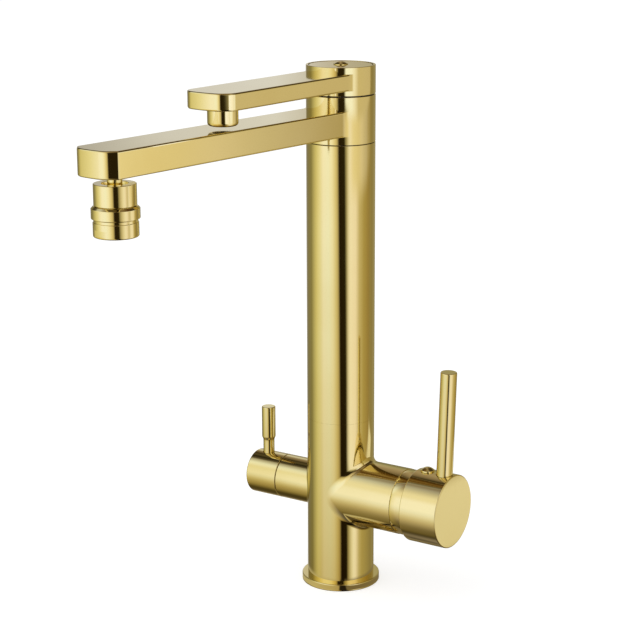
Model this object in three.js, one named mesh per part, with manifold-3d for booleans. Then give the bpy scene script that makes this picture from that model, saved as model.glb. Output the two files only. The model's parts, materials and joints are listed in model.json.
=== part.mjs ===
// Three way filtered water tap: a deck mounted kitchen mixer with two swivelling spouts.
// Millimetres, +Z up. Origin: column axis on the deck plane. The spouts point to -Y,
// the mixer lies along +X and the filter valve along -X.

import * as THREE from 'three';
import { mergeVertices } from 'three/addons/utils/BufferGeometryUtils.js';
import Module from 'manifold-3d';

const wasm = await Module();
wasm.setup();

// ---------------------------------------------------------------- driving dimensions

const ROUND = 48; // facets of the large round pieces
const MEDIUM = 32; // of the valve, the swivel joint and the aerator
const SMALL = 24; // of seals, levers and inner pieces
const TINY = 12; // of water ways, pins and small screws
const GAP = 0.3; // clearance between pieces that are cut for one another

const COLUMN_R = 21.5;
const TUBE_BORE_R = 19.5;
const FLANGE_R = 25.1;
const FLANGE_T = 4.6;
const BODY_TOP = 111.4; // joint between valve body and column tube
const COLUMN_TOP = 288.5; // joint between column tube and main spout
const SPOUT_TOP = 317.95; // joint between the two spout collars
const LOWER_GLIDE_T = 0.4;
const UPPER_GLIDE_T = 0.7;
const TOP = 336; // rim of the filter spout collar

const VALVE_Z = 62.35; // height of the common mixer and filter valve axis
const HORN_R = 21.1;
const HORN_END = 49.3;
const POCKET_R = 17.75;
const POCKET_FLOOR = 23.4;
const BOSS_R = 14.35;
const BOSS_END = 42;
const SEAT_FLOOR = 24;

const HUB_R = 23.35;
const HUB_BORE_R = 21.4;
const HUB_REAR = 57.9;
const HUB_FACE = 83.6;
const TILT_PIVOT = 53.5; // lever pivot, measured along the mixer axis
const LEVER_X = 76.4;
const LEVER_R = 5.18;
const LEVER_LEAN = 1.7; // degrees away from the column
const LEVER_TOP = 89.9; // above the mixer axis
const PLUG_X = 64.9;
const PLUG_R = 4.4;

const FILTER_HUB_REAR = 42.5;
const FILTER_HUB_END = 65.4;
const FILTER_LEVER_X = 56.65;
const FILTER_LEVER_R = 4.5;
const FILTER_NECK_R = 3.9;
const FILTER_LEVER_TOP = 45.6; // above the valve axis

const MAIN_ARM = {
  turn: -5.4, halfWidth: 15.5, length: 214, floor: 294, roof: 309.4, wall: 1.9,
  cornerRadius: 1, facet: 4.4, bendRadius: 9, crown: 0.4,
};
const FILTER_ARM = {
  turn: -2.9, halfWidth: 16.9, length: 132, floor: 321.8, roof: 331.9, wall: 1.6,
  cornerRadius: 7.3, facet: 3, bendRadius: 7.3, crown: 0.6,
};
const AERATOR_REACH = 195.6;
const NOZZLE_REACH = 114;

const SPINDLE_R = 13.5;
const SPINDLE_NECK_R = 9;
const WATER_TUBE_R = 4;
const BALL_Z = 283;
const BALL_R = 7;

// ---------------------------------------------------------------- finishes

const finish = (color, metalness, roughness) => ({ color, metalness, roughness });
const FINISHES = {
  gold: finish('#d2b866', 1, 0.08),
  brass: finish('#c2a254', 1, 0.35),
  steel: finish('#b9babb', 1, 0.3),
  rubber: finish('#161616', 0, 0.8),
  plastic: finish('#e6e4dc', 0, 0.45),
  darkPlastic: finish('#2b2b2b', 0, 0.5),
  ceramic: finish('#f1eee6', 0, 0.2),
};

// ---------------------------------------------------------------- geometry helpers

/** Keeps positions only, merges shared corners, drops flat triangles and faces outwards. */
function closed(geometry) {
  const bare = new THREE.BufferGeometry();
  bare.setAttribute('position', geometry.getAttribute('position').clone());
  if (geometry.index) bare.setIndex(geometry.index.clone());
  const merged = mergeVertices(bare, 1e-4);
  const kept = [];
  const a = new THREE.Vector3();
  const b = new THREE.Vector3();
  const c = new THREE.Vector3();
  const positions = merged.getAttribute('position');
  let volume = 0;
  for (let i = 0; i < merged.index.count; i += 3) {
    const [p, q, r] = [0, 1, 2].map((k) => merged.index.getX(i + k));
    if (p === q || q === r || r === p) continue;
    kept.push(p, q, r);
    a.fromBufferAttribute(positions, p);
    b.fromBufferAttribute(positions, q);
    c.fromBufferAttribute(positions, r);
    volume += a.dot(b.cross(c)) / 6;
  }
  merged.setIndex(volume < 0 ? kept.reverse() : kept);
  return merged;
}

/** Closed geometry as a solid that can be joined and cut. */
function solid(geometry) {
  const shape = closed(geometry);
  return new wasm.Manifold(new wasm.Mesh({
    numProp: 3,
    vertProperties: new Float32Array(shape.getAttribute('position').array),
    triVerts: new Uint32Array(shape.index.array),
  }));
}

function geometryOf(body) {
  const mesh = body.getMesh();
  const geometry = new THREE.BufferGeometry();
  geometry.setAttribute('position', new THREE.BufferAttribute(new Float32Array(mesh.vertProperties), 3));
  geometry.setIndex(Array.from(mesh.triVerts));
  return geometry;
}

const join = (...parts) => geometryOf(parts.map(solid).reduce((sum, part) => sum.add(part)));
const cut = (base, ...tools) => geometryOf(tools.map(solid).reduce((rest, tool) => rest.subtract(tool), solid(base)));
const common = (a, b) => geometryOf(solid(a).intersect(solid(b)));

/** Turned solid about Z from [radius, height] points; a profile off the axis closes on itself. */
function turned(profile, sides = ROUND) {
  const points = profile.map(([radius, height]) => new THREE.Vector2(radius, height));
  const onAxis = profile[0][0] === 0 && profile[profile.length - 1][0] === 0;
  if (!onAxis) points.push(points[0].clone());
  return closed(new THREE.LatheGeometry(points, sides).rotateX(Math.PI / 2));
}

const disc = (radius, low, high, sides = ROUND) => turned([[0, low], [radius, low], [radius, high], [0, high]], sides);
const ring = (inner, outer, low, high, sides = ROUND) => turned(
  [[inner, low], [outer, low], [outer, high], [inner, high]], sides);
const box = (x0, x1, y0, y1, z0, z1) => new THREE.BoxGeometry(x1 - x0, y1 - y0, z1 - z0)
  .translate((x0 + x1) / 2, (y0 + y1) / 2, (z0 + z1) / 2);

/** Lays a solid that was turned about Z along +X (sign 1) or -X (sign -1). */
const lying = (geometry, sign = 1) => geometry.clone().rotateY(sign * Math.PI / 2);
const along = (profile, sign = 1, sides = ROUND) => lying(turned(profile, sides), sign);
const bar = (radius, from, to, sign = 1, sides = ROUND) => lying(disc(radius, from, to, sides), sign);

/** Points on an arc in a profile or outline, ends included. */
function arc(cx, cy, radius, fromDeg, toDeg, steps) {
  return Array.from({ length: steps + 1 }, (_, i) => {
    const angle = THREE.MathUtils.degToRad(fromDeg + (toDeg - fromDeg) * i / steps);
    return [cx + radius * Math.cos(angle), cy + radius * Math.sin(angle)];
  });
}

/** O-ring about Z, its section a hexagon. */
const oRing = (mid, section, height) => turned(arc(mid, height, section, 30, 330, 5), SMALL);

/** A named mesh in the given finish. */
function piece(name, geometry, look) {
  const mesh = new THREE.Mesh(closed(geometry), new THREE.MeshStandardMaterial(look));
  mesh.name = name;
  return mesh;
}

const group = (...children) => new THREE.Group().add(...children);

// ---------------------------------------------------------------- base and body

const INLET_R = 4.4; // tapped hose inlets in the underside
const INLET_DEPTH = 14;
const WAY_R = 3; // drilled water ways
const INLETS = { cold: [6, 9.5], hot: [6, -9.5], filtered: [-10.5, 0] };
const PORT_Z = -5.35; // hot and cold ports, below the mixer axis
const MIXED_PORT_Z = 9;
const STUD_HOLES = [[-7, 12], [-7, -12]];
const STUD_R = 2.5;
const CHAMBER_R = 16.5;
const CHAMBER_FLOOR = 92;
const SPIGOT_R = 19.2;
const SPIGOT_TOP = 121;
const TUBE_SEAT_FLOOR = 84;
const FILTER_WAY_Z = 8.2; // filtered water outlet, above the valve axis

const upright = (x, y, radius, low, high, sides = TINY) => disc(radius, low, high, sides).translate(x, y, 0);
const level = (y, z, radius, from, to) => bar(radius, from, to, 1, TINY).translate(0, y, z);

function baseRing() {
  const bevel = 0.5;
  return turned([
    [19.3, 0], [21.2, 0], [21.2, 1.5], [23.6, 1.5], [23.6, 0], [FLANGE_R - bevel, 0],
    [FLANGE_R, bevel], [FLANGE_R, FLANGE_T - bevel], [FLANGE_R - bevel, FLANGE_T], [19.3, FLANGE_T],
  ]);
}

function valveBody() {
  const outer = join(
    turned([[0, 0], [19, 0], [19, FLANGE_T], [COLUMN_R, FLANGE_T], [COLUMN_R, BODY_TOP],
      [SPIGOT_R, BODY_TOP], [SPIGOT_R, 113.6], [17.5, 113.6], [17.5, 116.4], [SPIGOT_R, 116.4],
      [SPIGOT_R, SPIGOT_TOP], [0, SPIGOT_TOP]]),
    bar(HORN_R, 0, HORN_END).translate(0, 0, VALVE_Z),
    bar(BOSS_R, 0, BOSS_END, -1, MEDIUM).translate(0, 0, VALVE_Z),
  );
  const mixedZ = VALVE_Z + MIXED_PORT_Z;
  const portZ = VALVE_Z + PORT_Z;
  const filterZ = VALVE_Z + FILTER_WAY_Z;
  const ways = [
    disc(CHAMBER_R, CHAMBER_FLOOR, SPIGOT_TOP + 1, SMALL),
    bar(POCKET_R, POCKET_FLOOR, HORN_END + 1, 1, MEDIUM).translate(0, 0, VALVE_Z),
    bar(10.3, SEAT_FLOOR, BOSS_END + 1, -1, SMALL).translate(0, 0, VALVE_Z),
    bar(4, 9, SEAT_FLOOR + 1, -1, TINY).translate(0, 0, VALVE_Z),
    level(0, mixedZ, 3.6, 11, POCKET_FLOOR + 1),
    upright(12, 0, 3.6, mixedZ - 2, CHAMBER_FLOOR + 1),
    upright(0, 0, WATER_TUBE_R + 0.2, TUBE_SEAT_FLOOR, CHAMBER_FLOOR + 1),
    upright(0, 0, 2.5, filterZ - 1.5, TUBE_SEAT_FLOOR + 1),
    level(0, filterZ, 2.1, -SEAT_FLOOR - 1, 1),
    upright(...INLETS.filtered, WAY_R, INLET_DEPTH - 1, VALVE_Z + 1),
  ];
  for (const side of ['cold', 'hot']) {
    const [x, y] = INLETS[side];
    ways.push(upright(x, y, WAY_R, INLET_DEPTH - 1, portZ + 1.5));
    ways.push(level(y, portZ, WAY_R, x - 1, POCKET_FLOOR + 1));
  }
  for (const [x, y] of Object.values(INLETS)) ways.push(upright(x, y, INLET_R, -1, INLET_DEPTH, 16));
  for (const [x, y] of STUD_HOLES) ways.push(upright(x, y, STUD_R, -1, INLET_DEPTH));
  return cut(outer, ...ways);
}

function makeBody() {
  return group(
    piece('base_ring', baseRing(), FINISHES.gold),
    piece('base_gasket', ring(21.6, 23.4, 0, 1.3, SMALL), FINISHES.rubber),
    piece('valve_body', valveBody(), FINISHES.gold),
    piece('column_tube', ring(TUBE_BORE_R, COLUMN_R, BODY_TOP, COLUMN_TOP), FINISHES.gold),
    piece('tube_seal', oRing(18.55, 0.75, 115), FINISHES.rubber),
    piece('filtered_water_tube', ring(3, WATER_TUBE_R, TUBE_SEAT_FLOOR, 313, TINY), FINISHES.steel),
  );
}

// ---------------------------------------------------------------- swivel post and top

const GROOVES = { mainLow: 291.6, mainHigh: 314.6, filterLow: 321, filterHigh: 330.6 };
const PLUG_FLOOR = 268;
const SPINDLE_TOP = 332.8;

/** Swivel post: plug in the tube, wide stem in the main collar, thin stem in the filter collar. */
function spoutSpindle() {
  const groove = (stem, depth, half, z) => [[stem, z - half], [depth, z - half], [depth, z + half], [stem, z + half]];
  const outer = turned([
    [0, PLUG_FLOOR], [SPIGOT_R, PLUG_FLOOR], ...groove(SPIGOT_R, 17.8, 1.4, 276), [SPIGOT_R, COLUMN_TOP],
    [SPINDLE_R, COLUMN_TOP], ...groove(SPINDLE_R, 11.7, 1.3, GROOVES.mainLow),
    ...groove(SPINDLE_R, 12.2, 5.5, 301.7), ...groove(SPINDLE_R, 11.7, 1.3, GROOVES.mainHigh),
    [SPINDLE_R, SPOUT_TOP], [SPINDLE_NECK_R, SPOUT_TOP],
    ...groove(SPINDLE_NECK_R, 7.5, 1, GROOVES.filterLow), ...groove(SPINDLE_NECK_R, 7.9, 3, 326),
    ...groove(SPINDLE_NECK_R, 7.5, 1, GROOVES.filterHigh), [SPINDLE_NECK_R, SPINDLE_TOP], [0, SPINDLE_TOP],
  ], SMALL);
  const mixedWays = [0, 90].map((deg) => bar(3.4, -16, 16, 1, TINY)
    .rotateZ(THREE.MathUtils.degToRad(deg)).translate(0, 0, 301.7));
  const filterWays = [0, 90].map((deg) => bar(1.8, -11, 11, 1, TINY)
    .rotateZ(THREE.MathUtils.degToRad(deg)).translate(0, 0, 325));
  return cut(outer,
    disc(9, PLUG_FLOOR - 1, 308, SMALL), // mixed water bore
    disc(WATER_TUBE_R + 0.2, 307, 313.3, TINY), // socket of the filtered water tube
    disc(2.6, 312, 326.5, TINY),
    disc(2.5, 328, SPINDLE_TOP + 1, TINY), // tapped hole of the cap screw
    ...mixedWays, ...filterWays);
}

function makeSwivelPost() {
  const upperGlideTop = SPOUT_TOP + UPPER_GLIDE_T;
  const capTop = TOP - 0.2;
  return group(
    piece('spout_spindle', spoutSpindle(), FINISHES.brass),
    piece('spindle_seal', oRing(18.55, 0.75, 276), FINISHES.rubber),
    piece('main_seal_lower', oRing(12.65, 0.85, GROOVES.mainLow), FINISHES.rubber),
    piece('main_seal_upper', oRing(12.65, 0.85, GROOVES.mainHigh), FINISHES.rubber),
    piece('filter_seal_lower', oRing(8.3, 0.7, GROOVES.filterLow), FINISHES.rubber),
    piece('filter_seal_upper', oRing(8.3, 0.7, GROOVES.filterHigh), FINISHES.rubber),
    piece('lower_glide_ring', ring(14.2, 20.9, COLUMN_TOP, COLUMN_TOP + LOWER_GLIDE_T, SMALL), FINISHES.darkPlastic),
    piece('upper_glide_ring', ring(14.2, 20.6, SPOUT_TOP, upperGlideTop, SMALL), FINISHES.darkPlastic),
    piece('top_cap', ring(2.6, 19.6, SPINDLE_TOP, capTop), FINISHES.gold),
    piece('cap_screw', turned([[0, 328.4], [2.2, 328.4], [2.2, capTop], [4.5, capTop],
      ...arc(0, capTop - 4.34, 6.25, 43.97, 90, 4).slice(0, -1), [0, capTop + 1.91]], SMALL), FINISHES.gold),
  );
}

// ---------------------------------------------------------------- spouts

/** One side of the arm end: side, corner arc, facet at 45 degrees, bend arc into the end. */
function cornerPoints(halfWidth, length, radius, facet, bend) {
  const leg = facet / Math.SQRT2;
  const swing = (bend - radius) / Math.SQRT2;
  const cx = halfWidth - radius;
  const cy = bend - length;
  return [
    ...arc(cx, cy + leg - swing, radius, 0, -45, 2),
    ...arc(cx - leg - swing, cy, bend, -45, -90, 3),
  ];
}

/** Arm outline in plan, pointing to -Y, with a slightly crowned end and fillets at the collar. */
function armShape(arm, inset, collarRadius, rootFillet) {
  const halfWidth = arm.halfWidth - inset;
  const length = arm.length - inset;
  const [radius, bend] = [arm.cornerRadius, arm.bendRadius].map((r) => Math.max(r - inset, 0.6));
  const side = cornerPoints(halfWidth, length - arm.crown, radius, arm.facet, bend);
  const endHalf = side[side.length - 1][0];
  const crownSteps = [0.6, 0.2].map((t) => [endHalf * t, -(length - arm.crown * t * t)]);
  const fillet = [];
  if (rootFillet > 0) {
    const cx = halfWidth + rootFillet;
    const cy = -Math.sqrt((collarRadius - inset + rootFillet) ** 2 - cx ** 2);
    const start = THREE.MathUtils.radToDeg(Math.atan2(-cy, -cx));
    fillet.push(...arc(cx, cy, rootFillet, start, 180, 4));
  } else {
    fillet.push([halfWidth, 0]);
  }
  const right = [...fillet, ...side, ...crownSteps];
  const left = right.map(([x, y]) => [-x, y]).reverse();
  return new THREE.Shape([...right, ...left].map(([x, y]) => new THREE.Vector2(x, y)));
}

/** Straight extrusion of a shape between two heights. */
const slab = (shape, low, high) => new THREE.ExtrudeGeometry(shape, { depth: high - low, bevelEnabled: false })
  .translate(0, 0, low);

/** Arm with a bevel all round its top and bottom edges. */
function bevelledArm(arm, rootFillet, bevel) {
  const shape = armShape(arm, bevel, COLUMN_R, rootFillet);
  return new THREE.ExtrudeGeometry(shape, {
    depth: arm.roof - arm.floor - 2 * bevel, bevelThickness: bevel, bevelSize: bevel, bevelSegments: 1,
  }).translate(0, 0, arm.floor + bevel);
}

/** Hollow spout: collar and arm, water duct from the collar bore to the outlet boss. */
function spout(arm, collar, bore, outlet, recess) {
  const duct = { ...arm, length: outlet.reach + outlet.boss + 4, crown: 0, facet: 1, cornerRadius: 3, bendRadius: 3 };
  const shell = join(disc(COLUMN_R, collar.low, collar.high), bevelledArm(arm, 3, 0.7));
  const hollow = cut(shell, slab(armShape(duct, arm.wall, COLUMN_R, 0), arm.floor + arm.wall, arm.roof - arm.wall));
  const boss = disc(outlet.boss, arm.floor, arm.floor + outlet.height, SMALL).translate(0, -outlet.reach, 0);
  const liner = ring(bore - 1, COLUMN_R - 1.5, collar.low, collar.high, SMALL);
  const window = slab(armShape({ ...duct, halfWidth: bore * 0.72 }, 0, COLUMN_R, 0),
    arm.floor + arm.wall, arm.roof - arm.wall);
  const filled = join(hollow, boss, cut(liner, window));
  return cut(filled,
    disc(bore, collar.low - 1, collar.high + 1),
    disc(outlet.hole, arm.floor - 1, arm.floor + outlet.height + 1, SMALL).translate(0, -outlet.reach, 0),
    ...recess);
}

const MAIN_OUTLET = { reach: AERATOR_REACH, boss: 9, height: 7.5, hole: 6.2 };
const FILTER_OUTLET = { reach: NOZZLE_REACH, boss: 8, height: 4.8, hole: 5.6 };

/** Ball stem under the arm end: thread, flange, short neck and ball, bored through. */
function ballStem() {
  const low = Math.sqrt(BALL_R ** 2 - 3.4 ** 2);
  const start = THREE.MathUtils.radToDeg(Math.atan2(-low, 3.4));
  const neck = 4.15;
  const end = THREE.MathUtils.radToDeg(Math.acos(neck / BALL_R));
  return turned([
    [2.6, BALL_Z - low], ...arc(0, BALL_Z, BALL_R, start, end, 8), [neck, 292.3], [7, 292.3],
    [7, 293.2], [6, 293.2], [6, 301], [2.6, 301],
  ], SMALL);
}

/** Shell zone of a sphere about the ball centre, between two heights below it. */
function ballSeat() {
  const [inner, outer, high, low] = [BALL_R + 0.2, 8.7, -1.6, -5.4];
  const at = (radius, z) => THREE.MathUtils.radToDeg(Math.asin(z / radius));
  return turned([
    ...arc(0, BALL_Z, outer, at(outer, low), at(outer, high), 4),
    ...arc(0, BALL_Z, inner, at(inner, high), at(inner, low), 4),
  ], SMALL);
}

function swivelHousing() {
  const cup = BALL_R + 0.25;
  const lipZ = 3.6;
  const lip = THREE.MathUtils.radToDeg(Math.asin(lipZ / cup));
  return turned([
    [9.2, 271.4], [10.8, 271.4], [10.8, 277.3], [11.1, 277.3], [11.8, 278], [11.8, 288.6], [11.1, 289.3],
    [9.6, 289.3], ...arc(0, BALL_Z, cup, lip, 6, 2), [9.2, BALL_Z + 0.7],
  ], MEDIUM);
}

/** Aerator body: threaded spigot, skirt with two wrench flats, turned groove near its top. */
function aeratorBody() {
  const skirt = turned([
    [7.6, 269.3], [7.6, 275.2], [9, 275.2], [9, 269.9], [12.1, 269.9], [12.1, 268.4], [12.55, 267.9],
    [12.55, 261.2], [12.2, 260.5], [11.5, 260.2], [10.9, 260.2], [10.9, 269.3],
  ], MEDIUM);
  const flats = [-1, 1].map((side) => box(-6, 6, side * 11.7, side * 14, 261, 264.8));
  return cut(skirt, ...flats.map(closed));
}

function aeratorInsert() {
  const holes = [];
  for (const [radius, count] of [[3.2, 5], [7.2, 9]]) {
    for (let i = 0; i < count; i += 1) {
      const angle = 2 * Math.PI * i / count;
      holes.push(disc(1.1, 260, 269, 6).translate(radius * Math.cos(angle), radius * Math.sin(angle), 0));
    }
  }
  return cut(disc(10.6, 261, 268, SMALL), ...holes);
}

function makeMainSpout() {
  const collar = { low: COLUMN_TOP + LOWER_GLIDE_T, high: SPOUT_TOP };
  const spoutMesh = piece('main_spout', spout(MAIN_ARM, collar, SPINDLE_R + 0.2, MAIN_OUTLET, []), FINISHES.gold);
  const head = group(
    piece('ball_stem', ballStem(), FINISHES.gold),
    piece('ball_stem_seal', ring(6.1, 7, 293.2, MAIN_ARM.floor, SMALL), FINISHES.rubber),
    piece('ball_seat', ballSeat(), FINISHES.plastic),
    piece('swivel_housing', swivelHousing(), FINISHES.gold),
    piece('swivel_collar', turned([[11.1, 270.2], [13, 270.2], [13.4, 270.6], [13.4, 276], [12.3, 277.1],
      [11.1, 277.1]], MEDIUM), FINISHES.gold),
    piece('aerator_body', aeratorBody(), FINISHES.gold),
    piece('aerator_washer', ring(7.8, 10.6, 268.2, 269.1, SMALL), FINISHES.rubber),
    piece('aerator_insert', aeratorInsert(), FINISHES.darkPlastic),
  );
  head.position.y = -AERATOR_REACH;
  const spoutGroup = group(spoutMesh, head);
  spoutGroup.rotation.z = THREE.MathUtils.degToRad(MAIN_ARM.turn);
  return spoutGroup;
}

const NOZZLE_BOTTOM = 311.4;

function filterNozzle() {
  const edge = 2;
  return turned([
    [3.4, 318.5], [3.4, 326], [5.4, 326], [5.4, FILTER_ARM.floor], [8.9, FILTER_ARM.floor],
    ...arc(8.9 - edge, NOZZLE_BOTTOM + edge, edge, 0, -90, 4), [6.2, NOZZLE_BOTTOM], [6.2, 318.5],
  ], MEDIUM);
}

function nozzleInsert() {
  const holes = [disc(1.1, 313, 318, 6)];
  for (let i = 0; i < 6; i += 1) {
    const angle = 2 * Math.PI * i / 6;
    holes.push(disc(1.1, 313, 318, 6).translate(3.6 * Math.cos(angle), 3.6 * Math.sin(angle), 0));
  }
  return cut(disc(5.95, 313.6, 316.8, SMALL), ...holes);
}

function makeFilterSpout() {
  const collar = { low: SPOUT_TOP + UPPER_GLIDE_T, high: TOP };
  const capRecess = disc(20, SPINDLE_TOP - GAP, TOP + 1);
  const spoutMesh = piece('filter_spout',
    spout(FILTER_ARM, collar, SPINDLE_NECK_R + 0.2, FILTER_OUTLET, [capRecess]), FINISHES.gold);
  const outlet = group(
    piece('filter_nozzle', filterNozzle(), FINISHES.gold),
    piece('nozzle_seal', ring(3.6, 5.9, 317, 318.2, SMALL), FINISHES.rubber),
    piece('nozzle_insert', nozzleInsert(), FINISHES.darkPlastic),
  );
  outlet.position.y = -NOZZLE_REACH;
  const spoutGroup = group(spoutMesh, outlet);
  spoutGroup.rotation.z = THREE.MathUtils.degToRad(FILTER_ARM.turn);
  return spoutGroup;
}

// ---------------------------------------------------------------- mixer

const CARTRIDGE_R = 17.5;
const DISC_DROP = -2.75; // rest offset of the moving disc, half its travel
const BALL_END_X = 40.5;
const BALL_END_R = 3.8;
const STEM_HALF = 4;
const SHROUD_R = 21;
const TILT = THREE.MathUtils.degToRad(LEVER_LEAN);
const SOCKET_X = 61.5; // rear of the stem socket, clear of the turret when the hub tilts

const ports = (radius, from, to) => [
  ...[9.5, -9.5].map((y) => level(y, PORT_Z, radius, from, to)), level(0, MIXED_PORT_Z, radius + 0.6, from, to),
];

function cartridgeBody() {
  const shell = along([[0, 24.7], [CARTRIDGE_R, 24.7], [CARTRIDGE_R, 46], [14.5, 46], [14.5, 27.7], [0, 27.7]],
    1, SMALL);
  return cut(shell, ...ports(WAY_R, 24, 29));
}

/** Plate with guide rails and a slotted neck; the lever pin crosses the neck. */
function turret() {
  const rails = cut(bar(14, 33.5, 43.5, 1, SMALL), box(33, 43, -10.3, 10.3, -15, 15));
  const turnedPart = join(bar(14, 43, 46, 1, SMALL), bar(9.6, 46, 57.3, 1, SMALL), rails);
  return cut(turnedPart,
    box(42, 47, -4.35, 4.35, -4.5, 9.2), box(46.5, 59, -4.35, 4.35, -6.4, 7.6),
    bar(1.4, -11, 11, 1, 12).rotateZ(Math.PI / 2).translate(TILT_PIVOT, 0, 0));
}

/** Ceramic disc with two flats and a blind recess that joins the ports under it. */
function movingDisc() {
  const plate = common(bar(11.2, 32.1, 35.4, 1, SMALL), box(32, 36, -10, 10, -20, 20));
  return cut(plate, bar(7.5, 31, 34, 1, TINY)).translate(0, 0, DISC_DROP);
}

function discCarrier() {
  const plate = common(bar(11.4, 35.8, 42.4, 1, SMALL).translate(0, 0, DISC_DROP), box(35, 43, -10, 10, -20, 20));
  return cut(plate, box(36.4, 43, -4.2, 4.2, -4.2, 4.2));
}

function mixerStem() {
  const ball = new THREE.SphereGeometry(BALL_END_R, TINY, 8).translate(BALL_END_X, 0, 0);
  const shank = join(ball, bar(2.4, BALL_END_X, 45, 1, 12), box(44, 76, -STEM_HALF, STEM_HALF, -STEM_HALF, STEM_HALF));
  return cut(shank, bar(1.6, -6, 6, 1, 12).rotateZ(Math.PI / 2).translate(TILT_PIVOT, 0, 0));
}

/** Thin zone of a sphere about the lever pivot, so that the hub clears it at any tilt. */
function mixerShroud() {
  const inner = SHROUD_R - 1.8;
  const [rear, front] = [HORN_END - TILT_PIVOT, 6];
  const at = (radius, x) => THREE.MathUtils.radToDeg(Math.asin(x / radius));
  return along([
    ...arc(0, TILT_PIVOT, SHROUD_R, at(SHROUD_R, rear), at(SHROUD_R, front), 4),
    ...arc(0, TILT_PIVOT, inner, at(inner, front), at(inner, rear), 2),
  ]);
}

/** Leans a solid with the mixer lever: its own +Z runs along the lever. */
const onLever = (geometry) => geometry.clone().rotateY(TILT).translate(LEVER_X, 0, 0);

function mixerHub() {
  const edge = 0.6;
  const cup = along([
    [0, HUB_FACE - 3], [HUB_BORE_R, HUB_FACE - 3], [HUB_BORE_R, HUB_REAR], [HUB_R - edge, HUB_REAR],
    [HUB_R, HUB_REAR + edge], [HUB_R, HUB_FACE - edge], [HUB_R - edge, HUB_FACE], [0, HUB_FACE],
  ]);
  const bosses = join(
    bar(8.5, SOCKET_X, HUB_FACE - 2, 1, SMALL), // around the stem socket
    disc(3.6, 5, 22, TINY).translate(PLUG_X, 0, 0), // around the grub screw
    disc(6, 5, 22, TINY).translate(LEVER_X, 0, 0), // under the lever
  );
  return cut(join(cup, bosses),
    box(SOCKET_X - 1, 77, -4.2, 4.2, -4.2, 4.2),
    disc(2.6, 0, 30, TINY).translate(PLUG_X, 0, 0),
    disc(PLUG_R + 0.15, 22.8, 30, SMALL).translate(PLUG_X, 0, 0),
    onLever(disc(3.1, 9, 30, TINY)), onLever(disc(LEVER_R + GAP, 21.4, 30, SMALL)));
}

function mixerLever() {
  const edge = 0.6;
  return turned([[0, 12], [2.8, 12], [2.8, 21.7], [LEVER_R, 21.7], [LEVER_R, LEVER_TOP - edge],
    [LEVER_R - edge, LEVER_TOP], [0, LEVER_TOP]], SMALL);
}

function makeMixer() {
  const plugTop = 25.9;
  const lever = piece('mixer_lever', mixerLever(), FINISHES.gold);
  lever.position.x = LEVER_X;
  lever.rotation.y = TILT;
  const grubScrew = piece('mixer_grub_screw', disc(2.35, 4.3, 14.3, 12), FINISHES.steel);
  const indexPlug = piece('index_plug', turned([[0, 19.5], [2.3, 19.5], [2.3, 23.1], [PLUG_R, 23.1],
    [PLUG_R, 23.9], [3.3, 25], [1.7, 25.7], [0, plugTop]], SMALL), FINISHES.gold);
  grubScrew.position.x = PLUG_X;
  indexPlug.position.x = PLUG_X;
  const mixer = group(
    piece('cartridge_base_seal', cut(bar(16.8, POCKET_FLOOR, 24.5, 1, SMALL), ...ports(WAY_R, 22, 26)), FINISHES.rubber),
    piece('cartridge_body', cartridgeBody(), FINISHES.plastic),
    piece('fixed_disc', cut(bar(14.1, 28, 31.8, 1, SMALL), ...ports(WAY_R, 27, 33)), FINISHES.ceramic),
    piece('moving_disc', movingDisc(), FINISHES.ceramic),
    piece('disc_carrier', discCarrier(), FINISHES.plastic),
    piece('cartridge_turret', turret(), FINISHES.plastic),
    piece('turret_pin', bar(1.25, -8.8, 8.8, 1, 12).rotateZ(Math.PI / 2).translate(TILT_PIVOT, 0, 0), FINISHES.steel),
    piece('cartridge_nut', along([[10.2, 46.2], [17.5, 46.2], [17.5, 50.5], [10.2, 50.5]], 1, SMALL), FINISHES.brass),
    piece('mixer_shroud', mixerShroud(), FINISHES.gold),
    piece('mixer_stem', mixerStem(), FINISHES.steel),
    piece('mixer_hub', mixerHub(), FINISHES.gold),
    grubScrew,
    indexPlug,
    lever,
  );
  mixer.position.z = VALVE_Z;
  return mixer;
}

// ---------------------------------------------------------------- filter valve

function filterHeadwork() {
  const shell = along([[4.3, 31], [8, 31], [8, 25], [10, 25], [10, BOSS_END], [11, BOSS_END], [11, 46],
    [8.4, 46], [8.4, 50], [4.3, 50]], -1, SMALL);
  return cut(shell, box(-29.6, -26.4, -12, 12, -1.8, 1.8), box(-29.6, -26.4, -1.8, 1.8, -12, 12));
}

/** Half moon window through a ceramic disc. */
const windowCut = (from, to) => cut(bar(4.6, from, to, -1, TINY), box(-40, -20, -6, 6, -6, 0.8));

function filterHub() {
  const edge = 0.8;
  const cup = along([
    [0, 50.6], [12.2, 50.6], [12.2, FILTER_HUB_REAR], [BOSS_R - 0.3, FILTER_HUB_REAR], [BOSS_R, FILTER_HUB_REAR + 0.3],
    [BOSS_R, FILTER_HUB_END - edge], [BOSS_R - edge, FILTER_HUB_END], [0, FILTER_HUB_END],
  ], -1, MEDIUM);
  return cut(cup, bar(4.3, 49, 61.5, -1, SMALL), disc(2.6, 0, 20, TINY).translate(-FILTER_LEVER_X, 0, 0),
    disc(FILTER_NECK_R + GAP, 12.6, 20, SMALL).translate(-FILTER_LEVER_X, 0, 0));
}

function filterLever() {
  const edge = 0.5;
  return turned([[0, 4.6], [2.3, 4.6], [2.3, 12.9], [FILTER_NECK_R, 12.9], [FILTER_NECK_R, 22],
    [FILTER_LEVER_R, 23.6], [FILTER_LEVER_R, FILTER_LEVER_TOP - edge],
    [FILTER_LEVER_R - edge, FILTER_LEVER_TOP], [0, FILTER_LEVER_TOP]], SMALL);
}

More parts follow.
